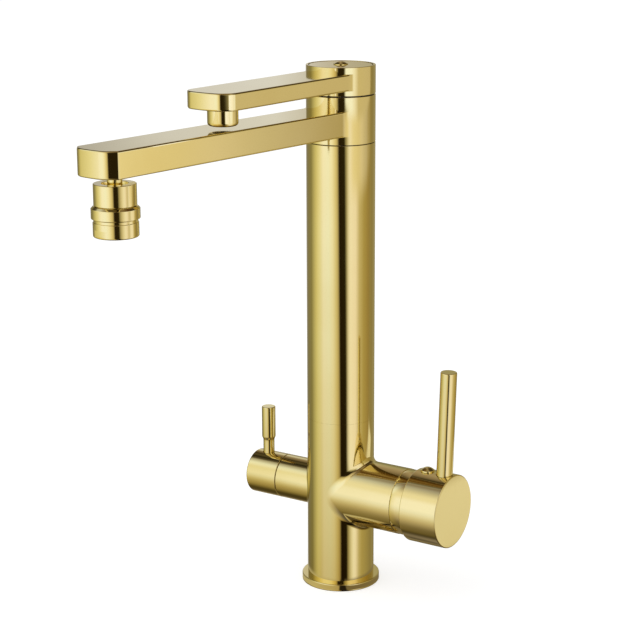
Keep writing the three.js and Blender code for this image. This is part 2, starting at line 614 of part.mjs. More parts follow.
function makeFilterValve() {
  const lever = piece('filter_lever', filterLever(), FINISHES.gold);
  lever.position.x = -FILTER_LEVER_X;
  const valve = group(
    piece('seat_washer', along([[4.6, SEAT_FLOOR], [8.6, SEAT_FLOOR], [8.6, 25], [4.6, 25]], -1, SMALL),
      FINISHES.rubber),
    piece('filter_headwork', filterHeadwork(), FINISHES.brass),
    piece('filter_fixed_disc', cut(bar(7.7, 25.2, 26.9, -1, SMALL), windowCut(24, 28)), FINISHES.ceramic),
    piece('filter_moving_disc', cut(bar(7.7, 27.1, 28.8, -1, SMALL), windowCut(26, 30)), FINISHES.ceramic),
    piece('filter_spindle', along([[0, 29.1], [7.5, 29.1], [7.5, 30.7], [4.1, 30.7], [4.1, 36.8], [3.2, 36.8],
      [3.2, 39.2], [4.1, 39.2], [4.1, 61], [0, 61]], -1, SMALL), FINISHES.brass),
    piece('spindle_o_ring', lying(oRing(3.7, 0.42, 38), -1), FINISHES.rubber),
    piece('filter_hub', filterHub(), FINISHES.gold),
    lever,
  );
  valve.position.z = VALVE_Z;
  return valve;
}

// ---------------------------------------------------------------- the tap

const tap = group(makeBody(), makeSwivelPost(), makeMainSpout(), makeFilterSpout(), makeMixer(), makeFilterValve());
tap.name = 'three_way_filtered_water_tap';

export default tap;
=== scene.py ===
"""A deck mounted three way filtered water tap in polished gold.

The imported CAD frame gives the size, place and motion of every piece. This scene dresses it: the
pieces that show are built again as smooth surfaces with rounded edges, the pieces inside keep
their solids, and each surface gets its finish. Lengths are millimetres until a mesh is made.
"""

import json
import logging
from abc import ABC, abstractmethod
from collections.abc import Callable, Iterable, Sequence
from dataclasses import dataclass, field
from enum import Enum
from typing import Any

import bmesh
import bpy
import numpy as np
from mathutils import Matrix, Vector

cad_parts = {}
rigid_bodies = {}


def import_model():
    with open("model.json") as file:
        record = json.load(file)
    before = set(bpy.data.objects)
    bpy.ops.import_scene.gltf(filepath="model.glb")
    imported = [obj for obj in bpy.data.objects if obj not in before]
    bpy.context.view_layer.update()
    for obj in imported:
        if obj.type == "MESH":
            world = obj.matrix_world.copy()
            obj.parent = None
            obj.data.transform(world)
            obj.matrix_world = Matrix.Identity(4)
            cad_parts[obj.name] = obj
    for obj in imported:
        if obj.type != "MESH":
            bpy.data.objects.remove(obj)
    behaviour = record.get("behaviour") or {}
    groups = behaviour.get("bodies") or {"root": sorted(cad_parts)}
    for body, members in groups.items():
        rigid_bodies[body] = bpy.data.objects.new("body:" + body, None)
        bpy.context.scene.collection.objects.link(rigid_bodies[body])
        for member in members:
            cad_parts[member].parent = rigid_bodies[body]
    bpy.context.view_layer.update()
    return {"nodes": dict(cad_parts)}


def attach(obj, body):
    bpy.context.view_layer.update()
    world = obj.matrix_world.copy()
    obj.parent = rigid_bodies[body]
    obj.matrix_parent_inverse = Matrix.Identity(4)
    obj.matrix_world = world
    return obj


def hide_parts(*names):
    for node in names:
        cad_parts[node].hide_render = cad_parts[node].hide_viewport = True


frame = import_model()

Array = np.ndarray
Colour = tuple[float, float, float]
MM = 0.001
LOG = logging.getLogger("tap")

# ---------------------------------------------------------------- driving dimensions

ROUND = 160  # columns of the large round pieces
FINE = 96  # of the smaller ones
LEAD = 0.12  # a wall's first points stand this far from its rounded edges, so it shades flat
SHARP = 32  # degrees between two faces from which the edge between them shades sharp
NEAR = 0.004  # a corner no further than this from a true cylinder lies on it
SQUARE = 0.985  # least cosine between the cylinder's normal there and the corner's face
TRIALS = 4001  # places tried when a fillet's ball rolls round a branch
DEGREES = 180 / np.pi

COLUMN_R = 21.5
FLANGE_T = 4.6
BODY_TOP = 111.4
COLUMN_TOP = 288.5
MAIN_COLLAR = (288.9, 317.95)
FILTER_COLLAR = (318.65, 336.0)
CAP_FLOOR = 332.8
VALVE_Z = 62.35
HUB_R = 23.35
BOSS_R = 14.35
BALL_Z = 283.0
MAIN_TURN = -5.4  # of each arm at rest, in degrees from -Y
FILTER_TURN = -2.9
AERATOR = (195.6, MAIN_TURN)  # distance from the column's axis, and the turn of the arm above
NOZZLE = (114.0, FILTER_TURN)
CAMERA_SIDE = 32.888  # of the camera, in degrees from -Y towards +X


# ---------------------------------------------------------------- profiles and surfaces


def unit(vectors: Array) -> Array:
    """Vectors divided by their length."""
    return vectors / np.linalg.norm(vectors, axis=-1, keepdims=True)


def bow(start: Array, end: Array, steps: int) -> Array:
    """Turns one radius vector evenly into another.

    Formula: sine-weighted mean of the two vectors, so the length stays and the angle grows evenly.

    Args:
        start: first radius vector, or one per column.
        end: last radius vector, of the same length and shape.
        steps: number of steps between them.

    Returns:
        The vectors in turn, steps + 1 rows.
    """
    cosine = np.sum(unit(start) * unit(end), axis=-1, keepdims=True)
    angle = np.arccos(np.clip(cosine, -1, 1))
    share = np.linspace(0, 1, steps + 1).reshape((-1,) + (1,) * start.ndim)
    return (np.sin((1 - share) * angle) * start + np.sin(share * angle) * end) / np.sin(angle)


def arc(centre: Sequence[float], radius: float, start: float, end: float, steps: int) -> Array:
    """Points on an arc: centre plus radius times cosine and sine of an even run of degrees."""
    angle = np.radians(np.linspace(start, end, steps + 1))
    return np.asarray(centre) + radius * np.stack([np.cos(angle), np.sin(angle)], axis=1)


def rounded(corners: Sequence[Sequence[float]], radii: float | Sequence[float]) -> Array:
    """Closed outline whose corners are arcs with a point of each straight wall just beside them.

    Formula: an arc of radius r touches both walls at r / tan(half the corner) from the corner.

    Args:
        corners: corner points in order round the outline.
        radii: radius of all corners, or one each; 0 keeps a corner sharp.

    Returns:
        The outline's points.
    """
    points = np.asarray(corners, float)
    parts: list[Array] = []
    around = zip(np.roll(points, 1, 0), points, np.roll(points, -1, 0), np.broadcast_to(radii, len(points)))
    for before, corner, after, radius in around:
        if not radius:
            parts.append(corner[None])
            continue
        back, ahead = unit(before - corner), unit(after - corner)
        half = np.arccos(np.clip(back @ ahead, -1, 1)) / 2
        reach = radius / np.tan(half)
        centre = corner + unit(back + ahead) * radius / np.sin(half)
        steps = max(3, int(np.ceil(np.degrees(np.pi - 2 * half) / 15)))
        curve = centre + bow(corner + back * reach - centre, corner + ahead * reach - centre, steps)
        parts += [(corner + back * (reach + LEAD))[None], curve, (corner + ahead * (reach + LEAD))[None]]
    return np.concatenate(parts)


def band(inner: float, outer: float, low: float, high: float) -> list[tuple[float, float]]:
    """Corners of a ring's section, anticlockwise from the lower inner one."""
    return [(inner, low), (outer, low), (outer, high), (inner, high)]


def raised(plan: Array, height: float | Array) -> Array:
    """The points of a plan, x and y, with a height beside each."""
    return np.concatenate([plan, np.broadcast_to(height, plan.shape[:-1] + (1,))], axis=-1)


@dataclass(frozen=True)
class Skin:
    """A surface as a grid of points that closes round its columns.

    Args:
        points: rows x columns x 3, in millimetres.
        ring: whether the last row joins the first.
    """

    points: Array
    ring: bool = False

    def faces(self) -> Array:
        """Corner numbers of the grid's quads, four by four."""
        rows, columns = self.points.shape[:2]
        row = np.arange(rows if self.ring else rows - 1)[:, None]
        low, high = row * columns, (row + 1) % rows * columns
        here = np.arange(columns)[None]
        beside = (here + 1) % columns
        return np.stack([low + here, low + beside, high + beside, high + here], axis=-1).reshape(-1, 4)

    def moved(self, x: float = 0.0, y: float = 0.0, z: float = 0.0) -> "Skin":
        """The skin shifted."""
        return Skin(self.points + np.array([x, y, z]), self.ring)

    def lying(self, sign: int) -> "Skin":
        """The skin laid on the valves' axis, with its own axis along +X (sign 1) or -X (sign -1)."""
        x, y, z = np.moveaxis(self.points, -1, 0)
        return Skin(np.stack([sign * z, sign * x, y + VALVE_Z], axis=-1), self.ring)

    def turned(self, degrees: float) -> "Skin":
        """The skin turned about Z."""
        c, s = np.cos(np.radians(degrees)), np.sin(np.radians(degrees))
        return Skin(self.points @ np.array([[c, s, 0], [-s, c, 0], [0, 0, 1]]), self.ring)

    def under(self, spot: tuple[float, float]) -> "Skin":
        """The skin taken from the column's axis to a spot of an arm, given as distance and turn."""
        distance, degrees = spot
        return self.moved(0, -distance).turned(degrees)

    def leaning(self, degrees: float) -> "Skin":
        """The skin leaned from +Z towards +X."""
        c, s = np.cos(np.radians(degrees)), np.sin(np.radians(degrees))
        return Skin(self.points @ np.array([[c, 0, -s], [0, 1, 0], [s, 0, c]]), self.ring)


def revolve(profile: Array, columns: int = FINE) -> Skin:
    """Turns a profile of radius and height about Z: x and y are radius times cosine and sine.

    Args:
        profile: points, anticlockwise with the radius to the right and the height upwards.
        columns: number of points round the axis.

    Returns:
        The turned skin; it is a ring unless the profile starts and ends on the axis.
    """
    angle = np.linspace(0, 2 * np.pi, columns, endpoint=False)
    profile = np.where(np.abs(profile) < 1e-9, 0.0, profile)
    radius, height = profile[:, :1], profile[:, 1:]
    points = np.stack([radius * np.cos(angle), radius * np.sin(angle), height + 0 * angle], axis=-1)
    return Skin(points, ring=bool(profile[0, 0] > 0 or profile[-1, 0] > 0))


def drill(radius: float, low: float, high: float, columns: int, tip: float = 0.0) -> Skin:
    """A solid about Z that cuts a hole, with a cone of the tip's height at its upper end."""
    return revolve(np.array([(0, low), (radius, low), (radius, high), (0, high + tip)]), columns)


@dataclass(frozen=True)
class Barrel:
    """A true cylinder that a mesh follows, used to give its faces exact normals.

    Args:
        radius: radius of the cylinder, in millimetres.
        along: direction of its axis.
        through: a point on its axis, in millimetres.
    """

    radius: float
    along: tuple[float, float, float] = (0.0, 0.0, 1.0)
    through: tuple[float, float, float] = (0.0, 0.0, 0.0)

    def radial(self, points: Array) -> tuple[Array, Array]:
        """Distance from the axis and direction away from it, for each point."""
        axis = unit(np.array(self.along))
        offset = points - np.array(self.through)
        offset = offset - (offset @ axis)[:, None] * axis
        distance = np.linalg.norm(offset, axis=1)
        return distance, offset / np.maximum(distance, 1e-9)[:, None]


def valve_barrel(radius: float) -> Barrel:
    """The true cylinder of a radius about the valves' axis."""
    return Barrel(radius, (1.0, 0.0, 0.0), (0.0, 0.0, VALVE_Z))


def read(items: Any, name: str, kind: type = np.float32, width: int = 3) -> Array:
    """An attribute of a mesh's items, one row each."""
    values = np.empty(len(items) * width, kind)
    items.foreach_get(name, values)
    return values.reshape(-1, width)


def true_normals(mesh: bpy.types.Mesh, barrels: Iterable[Barrel]) -> None:
    """Gives the corners that lie on a true cylinder its exact normal.

    Formula: a corner at the cylinder's radius, on a face square to that radius, takes the
    radius's direction, outwards or inwards as the face looks.

    Args:
        mesh: the mesh, in metres.
        barrels: the cylinders that it follows.
    """
    vertex = read(mesh.loops, "vertex_index", np.int32, 1)[:, 0]
    sides = read(mesh.polygons, "loop_total", np.int32, 1)[:, 0]
    corners = read(mesh.vertices, "co").astype(float)[vertex] / MM
    faces = np.repeat(read(mesh.polygons, "normal"), sides, axis=0)
    normals = read(mesh.corner_normals, "vector")
    for barrel in barrels:
        distance, away = barrel.radial(corners)
        facing = np.sum(faces * away, axis=1)
        on = (np.abs(distance - barrel.radius) < NEAR) & (np.abs(facing) > SQUARE)
        normals[on] = (away * np.sign(facing)[:, None])[on]
    mesh.normals_split_custom_set(normals.tolist())


def raw_mesh(name: str, skins: Iterable[Skin]) -> bpy.types.Mesh:
    """Joins skins into one closed mesh in metres, with seams and poles merged and faces outwards.

    Args:
        name: name of the mesh.
        skins: the grids, whose shared edges hold the same points.

    Returns:
        The mesh.
    """
    points, faces, start = [], [], 0
    for skin in skins:
        points.append(skin.points.reshape(-1, 3))
        faces.append(skin.faces() + start)
        start += len(points[-1])
    mesh = bpy.data.meshes.new(name)
    mesh.from_pydata(np.concatenate(points) * MM, [], np.concatenate(faces).tolist())
    work = bmesh.new()
    work.from_mesh(mesh)
    bmesh.ops.remove_doubles(work, verts=work.verts, dist=2e-6)
    bmesh.ops.dissolve_degenerate(work, edges=work.edges, dist=1e-7)
    bmesh.ops.recalc_face_normals(work, faces=work.faces)
    open_edges = sum(not edge.is_manifold for edge in work.edges)
    if open_edges:
        LOG.warning("%s has %d open edges", name, open_edges)
    work.to_mesh(mesh)
    work.free()
    return mesh


def carved(mesh: bpy.types.Mesh, cutters: Sequence[Skin]) -> bpy.types.Mesh:
    """Cuts solids out of a closed mesh.

    Args:
        mesh: the mesh to cut, in metres.
        cutters: closed skins, each cut in turn.

    Returns:
        The cut mesh.
    """
    scene = bpy.context.scene.collection.objects
    blank = bpy.data.objects.new(mesh.name, mesh)
    scene.link(blank)
    tools = [bpy.data.objects.new("tool", raw_mesh("tool", [cutter])) for cutter in cutters]
    for tool in tools:
        scene.link(tool)
        cut = blank.modifiers.new("cut", "BOOLEAN")
        cut.operation, cut.solver, cut.object = "DIFFERENCE", "EXACT", tool
    bpy.context.view_layer.update()
    result = bpy.data.meshes.new_from_object(blank.evaluated_get(bpy.context.evaluated_depsgraph_get()))
    for spare in [*tools, blank]:
        bpy.data.objects.remove(spare)
    return result


# ---------------------------------------------------------------- shader maths


class Wire:
    """A value in a shader tree; arithmetic on it adds Math nodes."""

    def __init__(self, tree: "ShaderTree", socket: bpy.types.NodeSocket) -> None:
        """Keeps the socket and the tree that it belongs to."""
        self.tree = tree
        self.socket = socket

    def maths(self, operation: str, *terms: "Wire | float") -> "Wire":
        """A Math node of the operation on the terms."""
        return self.tree.node("ShaderNodeMath", {"operation": operation}, dict(enumerate(terms)))

    def __add__(self, other: "Wire | float") -> "Wire":
        """Sum."""
        return self.maths("ADD", self, other)

    def __radd__(self, other: float) -> "Wire":
        """Sum."""
        return self.maths("ADD", other, self)

    def __sub__(self, other: "Wire | float") -> "Wire":
        """Difference."""
        return self.maths("SUBTRACT", self, other)

    def __rsub__(self, other: float) -> "Wire":
        """Difference."""
        return self.maths("SUBTRACT", other, self)

    def __mul__(self, other: "Wire | float") -> "Wire":
        """Product."""
        return self.maths("MULTIPLY", self, other)

    def __rmul__(self, other: float) -> "Wire":
        """Product."""
        return self.maths("MULTIPLY", other, self)

    def __truediv__(self, other: "Wire | float") -> "Wire":
        """Quotient."""
        return self.maths("DIVIDE", self, other)

    def __rtruediv__(self, other: float) -> "Wire":
        """Quotient."""
        return self.maths("DIVIDE", other, self)

    def __neg__(self) -> "Wire":
        """The value with its sign turned."""
        return self.maths("MULTIPLY", self, -1.0)

    def clamped(self, low: float, high: float) -> "Wire":
        """The value kept between two limits."""
        return self.maths("MINIMUM", self.maths("MAXIMUM", self, low), high)

    def size(self) -> "Wire":
        """The value without its sign."""
        return self.maths("ABSOLUTE", self)

    def step(self, low: float, high: float) -> "Wire":
        """Smooth step from 0 at low to 1 at high."""
        limits = {"Value": self, "From Min": low, "From Max": high}
        return self.tree.node("ShaderNodeMapRange", {"interpolation_type": "SMOOTHSTEP"}, limits)


class ShaderTree:
    """Builds the nodes of a material or of the world."""

    def __init__(self, owner: bpy.types.Material | bpy.types.World) -> None:
        """Takes the owner's node tree and empties it."""
        owner.use_nodes = True
        self.tree = owner.node_tree
        self.tree.nodes.clear()

    def node(self, kind: str, settings: dict[str, Any] | None = None, inputs: dict[Any, Any] | None = None,
             output: int | str = 0) -> Wire:
        """Adds a node.

        Args:
            kind: the node's type.
            settings: its own settings, set first; "stops" gives a ramp's places and colours.
            inputs: a value or a Wire for each socket, by name or number.
            output: the output to return, by name or number.

        Returns:
            The chosen output, or the node's first input where it has no output.
        """
        made = self.tree.nodes.new(kind)
        for name, value in (settings or {}).items():
            if name == "stops":
                self.fill_ramp(made.color_ramp, value)
            else:
                setattr(made, name, value)
        for name, value in (inputs or {}).items():
            if isinstance(value, Wire):
                self.tree.links.new(value.socket, made.inputs[name])
            else:
                made.inputs[name].default_value = value
        return Wire(self, made.outputs[output] if made.outputs else made.inputs[0])

    @staticmethod
    def fill_ramp(ramp: bpy.types.ColorRamp, stops: Sequence[tuple[float, Colour]]) -> None:
        """Sets a ramp's stops, given as place and colour."""
        while len(ramp.elements) < len(stops):
            ramp.elements.new(0.5)
        for element, (place, colour) in zip(ramp.elements, stops):
            element.position = place
            element.color = (*colour, 1.0)

    def mix(self, factor: "Wire | float", first: Any, second: Any, blend: str = "MIX") -> Wire:
        """A colour between two colours, or the first blended with the second."""
        inputs = {0: factor, 6: first, 7: second}
        return self.node("ShaderNodeMix", {"data_type": "RGBA", "blend_type": blend}, inputs, output=2)

    def ramp(self, value: Wire, stops: Sequence[tuple[float, Colour]]) -> Wire:
        """A colour that follows a value between stops, given as value and colour."""
        low, high = stops[0][0], stops[-1][0]
        places = [((place - low) / (high - low), colour) for place, colour in stops]
        return self.node("ShaderNodeValToRGB", {"stops": places}, {0: (value - low) / (high - low)})

    def position(self, shift: Sequence[float] = (0, 0, 0), turn: float = 0.0,
                 stretch: Sequence[float] = (1, 1, 1)) -> Wire:
        """Object coordinates stretched along the axes, turned about Z, in degrees, and shifted."""
        inputs = {"Vector": self.node("ShaderNodeTexCoord", output="Object"), "Location": tuple(shift),
                  "Rotation": (0, 0, np.radians(turn)), "Scale": tuple(stretch)}
        return self.node("ShaderNodeMapping", None, inputs)

    def axes(self, place: Wire) -> tuple[Wire, Wire, Wire]:
        """The x, y and z of a vector."""
        split = [self.node("ShaderNodeSeparateXYZ", None, {0: place}, output=k) for k in range(3)]
        return split[0], split[1], split[2]

    def noise(self, scale: float, detail: float = 3.0, stretch: Sequence[float] = (1, 1, 1)) -> Wire:
        """Noise on Object coordinates, about 0 to 1; scale is in cycles per metre."""
        place = self.position(stretch=stretch)
        return self.node("ShaderNodeTexNoise", None, {"Vector": place, "Scale": scale, "Detail": detail})


def bearing(x: Wire, y: Wire) -> Wire:
    """Angle in plan from -Y towards +X, in degrees."""
    return x.maths("ARCTAN2", x, -y) * DEGREES


def painted(name: str, shader: Callable[[ShaderTree], Wire]) -> bpy.types.Material:
    """A material whose surface is what the function makes in its tree."""
    made = bpy.data.materials.new(name)
    tree = ShaderTree(made)
    tree.node("ShaderNodeOutputMaterial", None, {"Surface": shader(tree)})
    return made


# ---------------------------------------------------------------- finishes


class Slot(Enum):
    """The record's material slots."""

    GOLD = "gold"
    BRASS = "brass"
    STEEL = "steel"
    RUBBER = "rubber"
    PLASTIC = "plastic"
    DARK_PLASTIC = "dark_plastic"
    CERAMIC = "ceramic"


def rgba(colour: Colour) -> tuple[float, float, float, float]:
    """A colour with full alpha."""
    return (*colour, 1.0)


@dataclass(frozen=True)
class Finish(ABC):
    """What the finishes share: soft patches of colour, uneven gloss and a fine relief.

    Args:
        tone: main colour, linear; of a metal, the reflectance where it is clean.
        patch: colour of the patches, linear.
        gloss: roughness of the smoothest and the dullest spots.
        relief: strength of the relief.
        grain: cycles of the relief per metre.
    """

    tone: Colour
    patch: Colour
    gloss: tuple[float, float]
    relief: float
    grain: float

    @abstractmethod
    def shader(self, tree: ShaderTree) -> Wire:
        """The shader of the finish."""

    def surface(self, tree: ShaderTree, patches: Wire, wear: Wire, grain: Wire, depth: float,
                metallic: float) -> Wire:
        """Puts the finish together.

        Args:
            tree: the shader tree.
            patches: share of the patches' colour, 0 to 1.
            wear: place between the two ends of the gloss, 0 to 1.
            grain: height of the relief, 0 to 1.
            depth: depth of the relief, in metres.
            metallic: 1 for a metal, 0 for anything else.

        Returns:
            The shader.
        """
        low, high = self.gloss
        relief = {"Strength": self.relief, "Distance": depth, "Height": grain}
        return tree.node("ShaderNodeBsdfPrincipled", None, {
            "Base Color": tree.mix(patches, rgba(self.tone), rgba(self.patch)),
            "Metallic": metallic,
            "Roughness": wear * (high - low) + low,
            "Normal": tree.node("ShaderNodeBump", None, relief),
        })


@dataclass(frozen=True)
class Metal(Finish):
    """A metal with faint tone drift, gloss wiped up and down, and hairline wear."""

    def shader(self, tree: ShaderTree) -> Wire:
        """Wide clouds of tone, upright wipes and a fine grain."""
        cloud = tree.noise(18.0, 4.0).step(0.35, 0.7)
        wipe = tree.noise(260.0, 5.0, (1.0, 1.0, 0.25)).step(0.45, 0.75)
        return self.surface(tree, cloud, wipe, tree.noise(self.grain, 2.0), 1e-5, 1.0)


@dataclass(frozen=True)
class Moulded(Finish):
    """Plastic, rubber or ceramic: mottled colour and a grain that is dull where it is high."""

    def shader(self, tree: ShaderTree) -> Wire:
        """A mottle of colour, and one grain for the gloss and the relief."""
        grain = tree.noise(self.grain, 4.0)
        return self.surface(tree, tree.noise(90.0, 3.0).step(0.3, 0.7), grain, grain, 3e-5, 0.0)


FINISHES: dict[Slot, Finish] = {
    Slot.GOLD: Metal((0.86, 0.74, 0.36), (0.84, 0.71, 0.33), (0.06, 0.1), 0.05, 900.0),
    Slot.BRASS: Metal((0.62, 0.43, 0.16), (0.52, 0.35, 0.13), (0.24, 0.42), 0.5, 1400.0),
    Slot.STEEL: Metal((0.58, 0.58, 0.57), (0.5, 0.5, 0.5), (0.18, 0.34), 0.35, 1800.0),
    Slot.RUBBER: Moulded((0.012, 0.012, 0.012), (0.022, 0.021, 0.02), (0.55, 0.85), 0.5, 2600.0),
    Slot.PLASTIC: Moulded((0.78, 0.76, 0.7), (0.72, 0.7, 0.64), (0.32, 0.5), 0.3, 3200.0),
    Slot.DARK_PLASTIC: Moulded((0.03, 0.03, 0.03), (0.02, 0.02, 0.021), (0.35, 0.55), 0.3, 3200.0),
    Slot.CERAMIC: Moulded((0.84, 0.82, 0.77), (0.8, 0.78, 0.73), (0.08, 0.2), 0.1, 4000.0),
}


class Palette:
    """Makes each finish once and hands it out."""

    def __init__(self) -> None:
        """Makes the material of every slot."""
        self.materials = {
            slot: painted(f"{slot.value}_finish", finish.shader) for slot, finish in FINISHES.items()}

    def dress(self, piece: bpy.types.Object, slot: Slot) -> None:
        """Gives a piece the finish of a slot on all its faces."""
        piece.data.materials.clear()
        piece.data.materials.append(self.materials[slot])


# ---------------------------------------------------------------- sub-assemblies


@dataclass
class SubAssembly(ABC):
    """A group of pieces that ride on one CAD body.

    Args:
        palette: the finishes.
        body: name of the CAD body.
        made: the pieces made so far.
    """

    palette: Palette
    body: str
    made: list[bpy.types.Object] = field(default_factory=list, init=False)

    @abstractmethod
    def build(self) -> None:
        """Builds and dresses the pieces of the sub-assembly."""

    def add(self, node: str, skins: Iterable[Skin], slot: Slot = Slot.GOLD, cutters: Sequence[Skin] = (),
            barrels: Iterable[Barrel] = ()) -> None:
        """Makes the piece that stands for a CAD node, dresses it and ties it to the body.

        Args:
            node: the CAD node; the piece takes its name and a suffix.
            skins: the piece's surfaces.
            slot: the record's material slot of its finish.
            cutters: solids cut out of it.
            barrels: true cylinders that it follows.
        """
        name = f"{node}_skin"
        mesh = raw_mesh(name, skins)
        if cutters:
            mesh = carved(mesh, cutters)
            mesh.name = name
        mesh.shade_smooth()
        mesh.set_sharp_from_angle(angle=np.radians(SHARP))
        true_normals(mesh, barrels)
        piece = bpy.data.objects.new(name, mesh)
        bpy.context.scene.collection.objects.link(piece)
        self.palette.dress(piece, slot)
        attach(piece, self.body)
        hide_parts(node)
        self.made.append(piece)

    def turned(self, node: str, profile: Array, slot: Slot = Slot.GOLD, columns: int = FINE,
               spot: tuple[float, float] = (0.0, 0.0), cutters: Sequence[Skin] = (),
               barrels: Iterable[Barrel] = ()) -> None:
        """Makes a piece turned about an upright axis.

        Args:
            node: the CAD node that it stands for.
            profile: its profile, radius and height.
            slot: the record's material slot of its finish.
            columns: number of points round the axis.
            spot: distance of its axis from the column's, and the turn of the arm above.
            cutters: solids cut out of it.
            barrels: true cylinders that it follows.
        """
        self.add(node, [revolve(profile, columns).under(spot)], slot, cutters, barrels)


@dataclass
class Base(SubAssembly):
    """The flange at the deck, with a groove underneath for its gasket."""

    radius: float = 25.1
    bore: float = 19.3
    edge: float = 0.6
    groove: tuple[float, float, float] = (21.2, 23.6, 1.5)  # inner radius, outer radius, depth
    gasket: tuple[float, float, float] = (21.6, 23.4, 1.3)  # inner radius, outer radius, height

    def build(self) -> None:
        """Builds the flange and the gasket."""
        inner, outer, roof = self.groove
        flange = rounded([(self.bore, 0), (inner, 0), (inner, roof), (outer, roof), (outer, 0),
                          (self.radius, 0), (self.radius, FLANGE_T), (self.bore, FLANGE_T)],
                         [0.2, 0.2, 0, 0, 0.2, self.edge, self.edge, 0.2])
        self.turned("base_ring", flange, columns=ROUND)
        inner, outer, height = self.gasket
        self.turned("base_gasket", rounded(band(inner, outer, 0, height), 0.3), Slot.RUBBER)


@dataclass(frozen=True)
class Branch:
    """A branch of the valve body.

    Args:
        sign: 1 where it points to +X, -1 where it points to -X.
        radius: its radius.
        end: distance of its end face from the column's axis.
        pocket: radius and floor of the pocket in its end.
        fillet: width of the fillet round its root.
    """

    sign: int
    radius: float
    end: float
    pocket: tuple[float, float]
    fillet: float


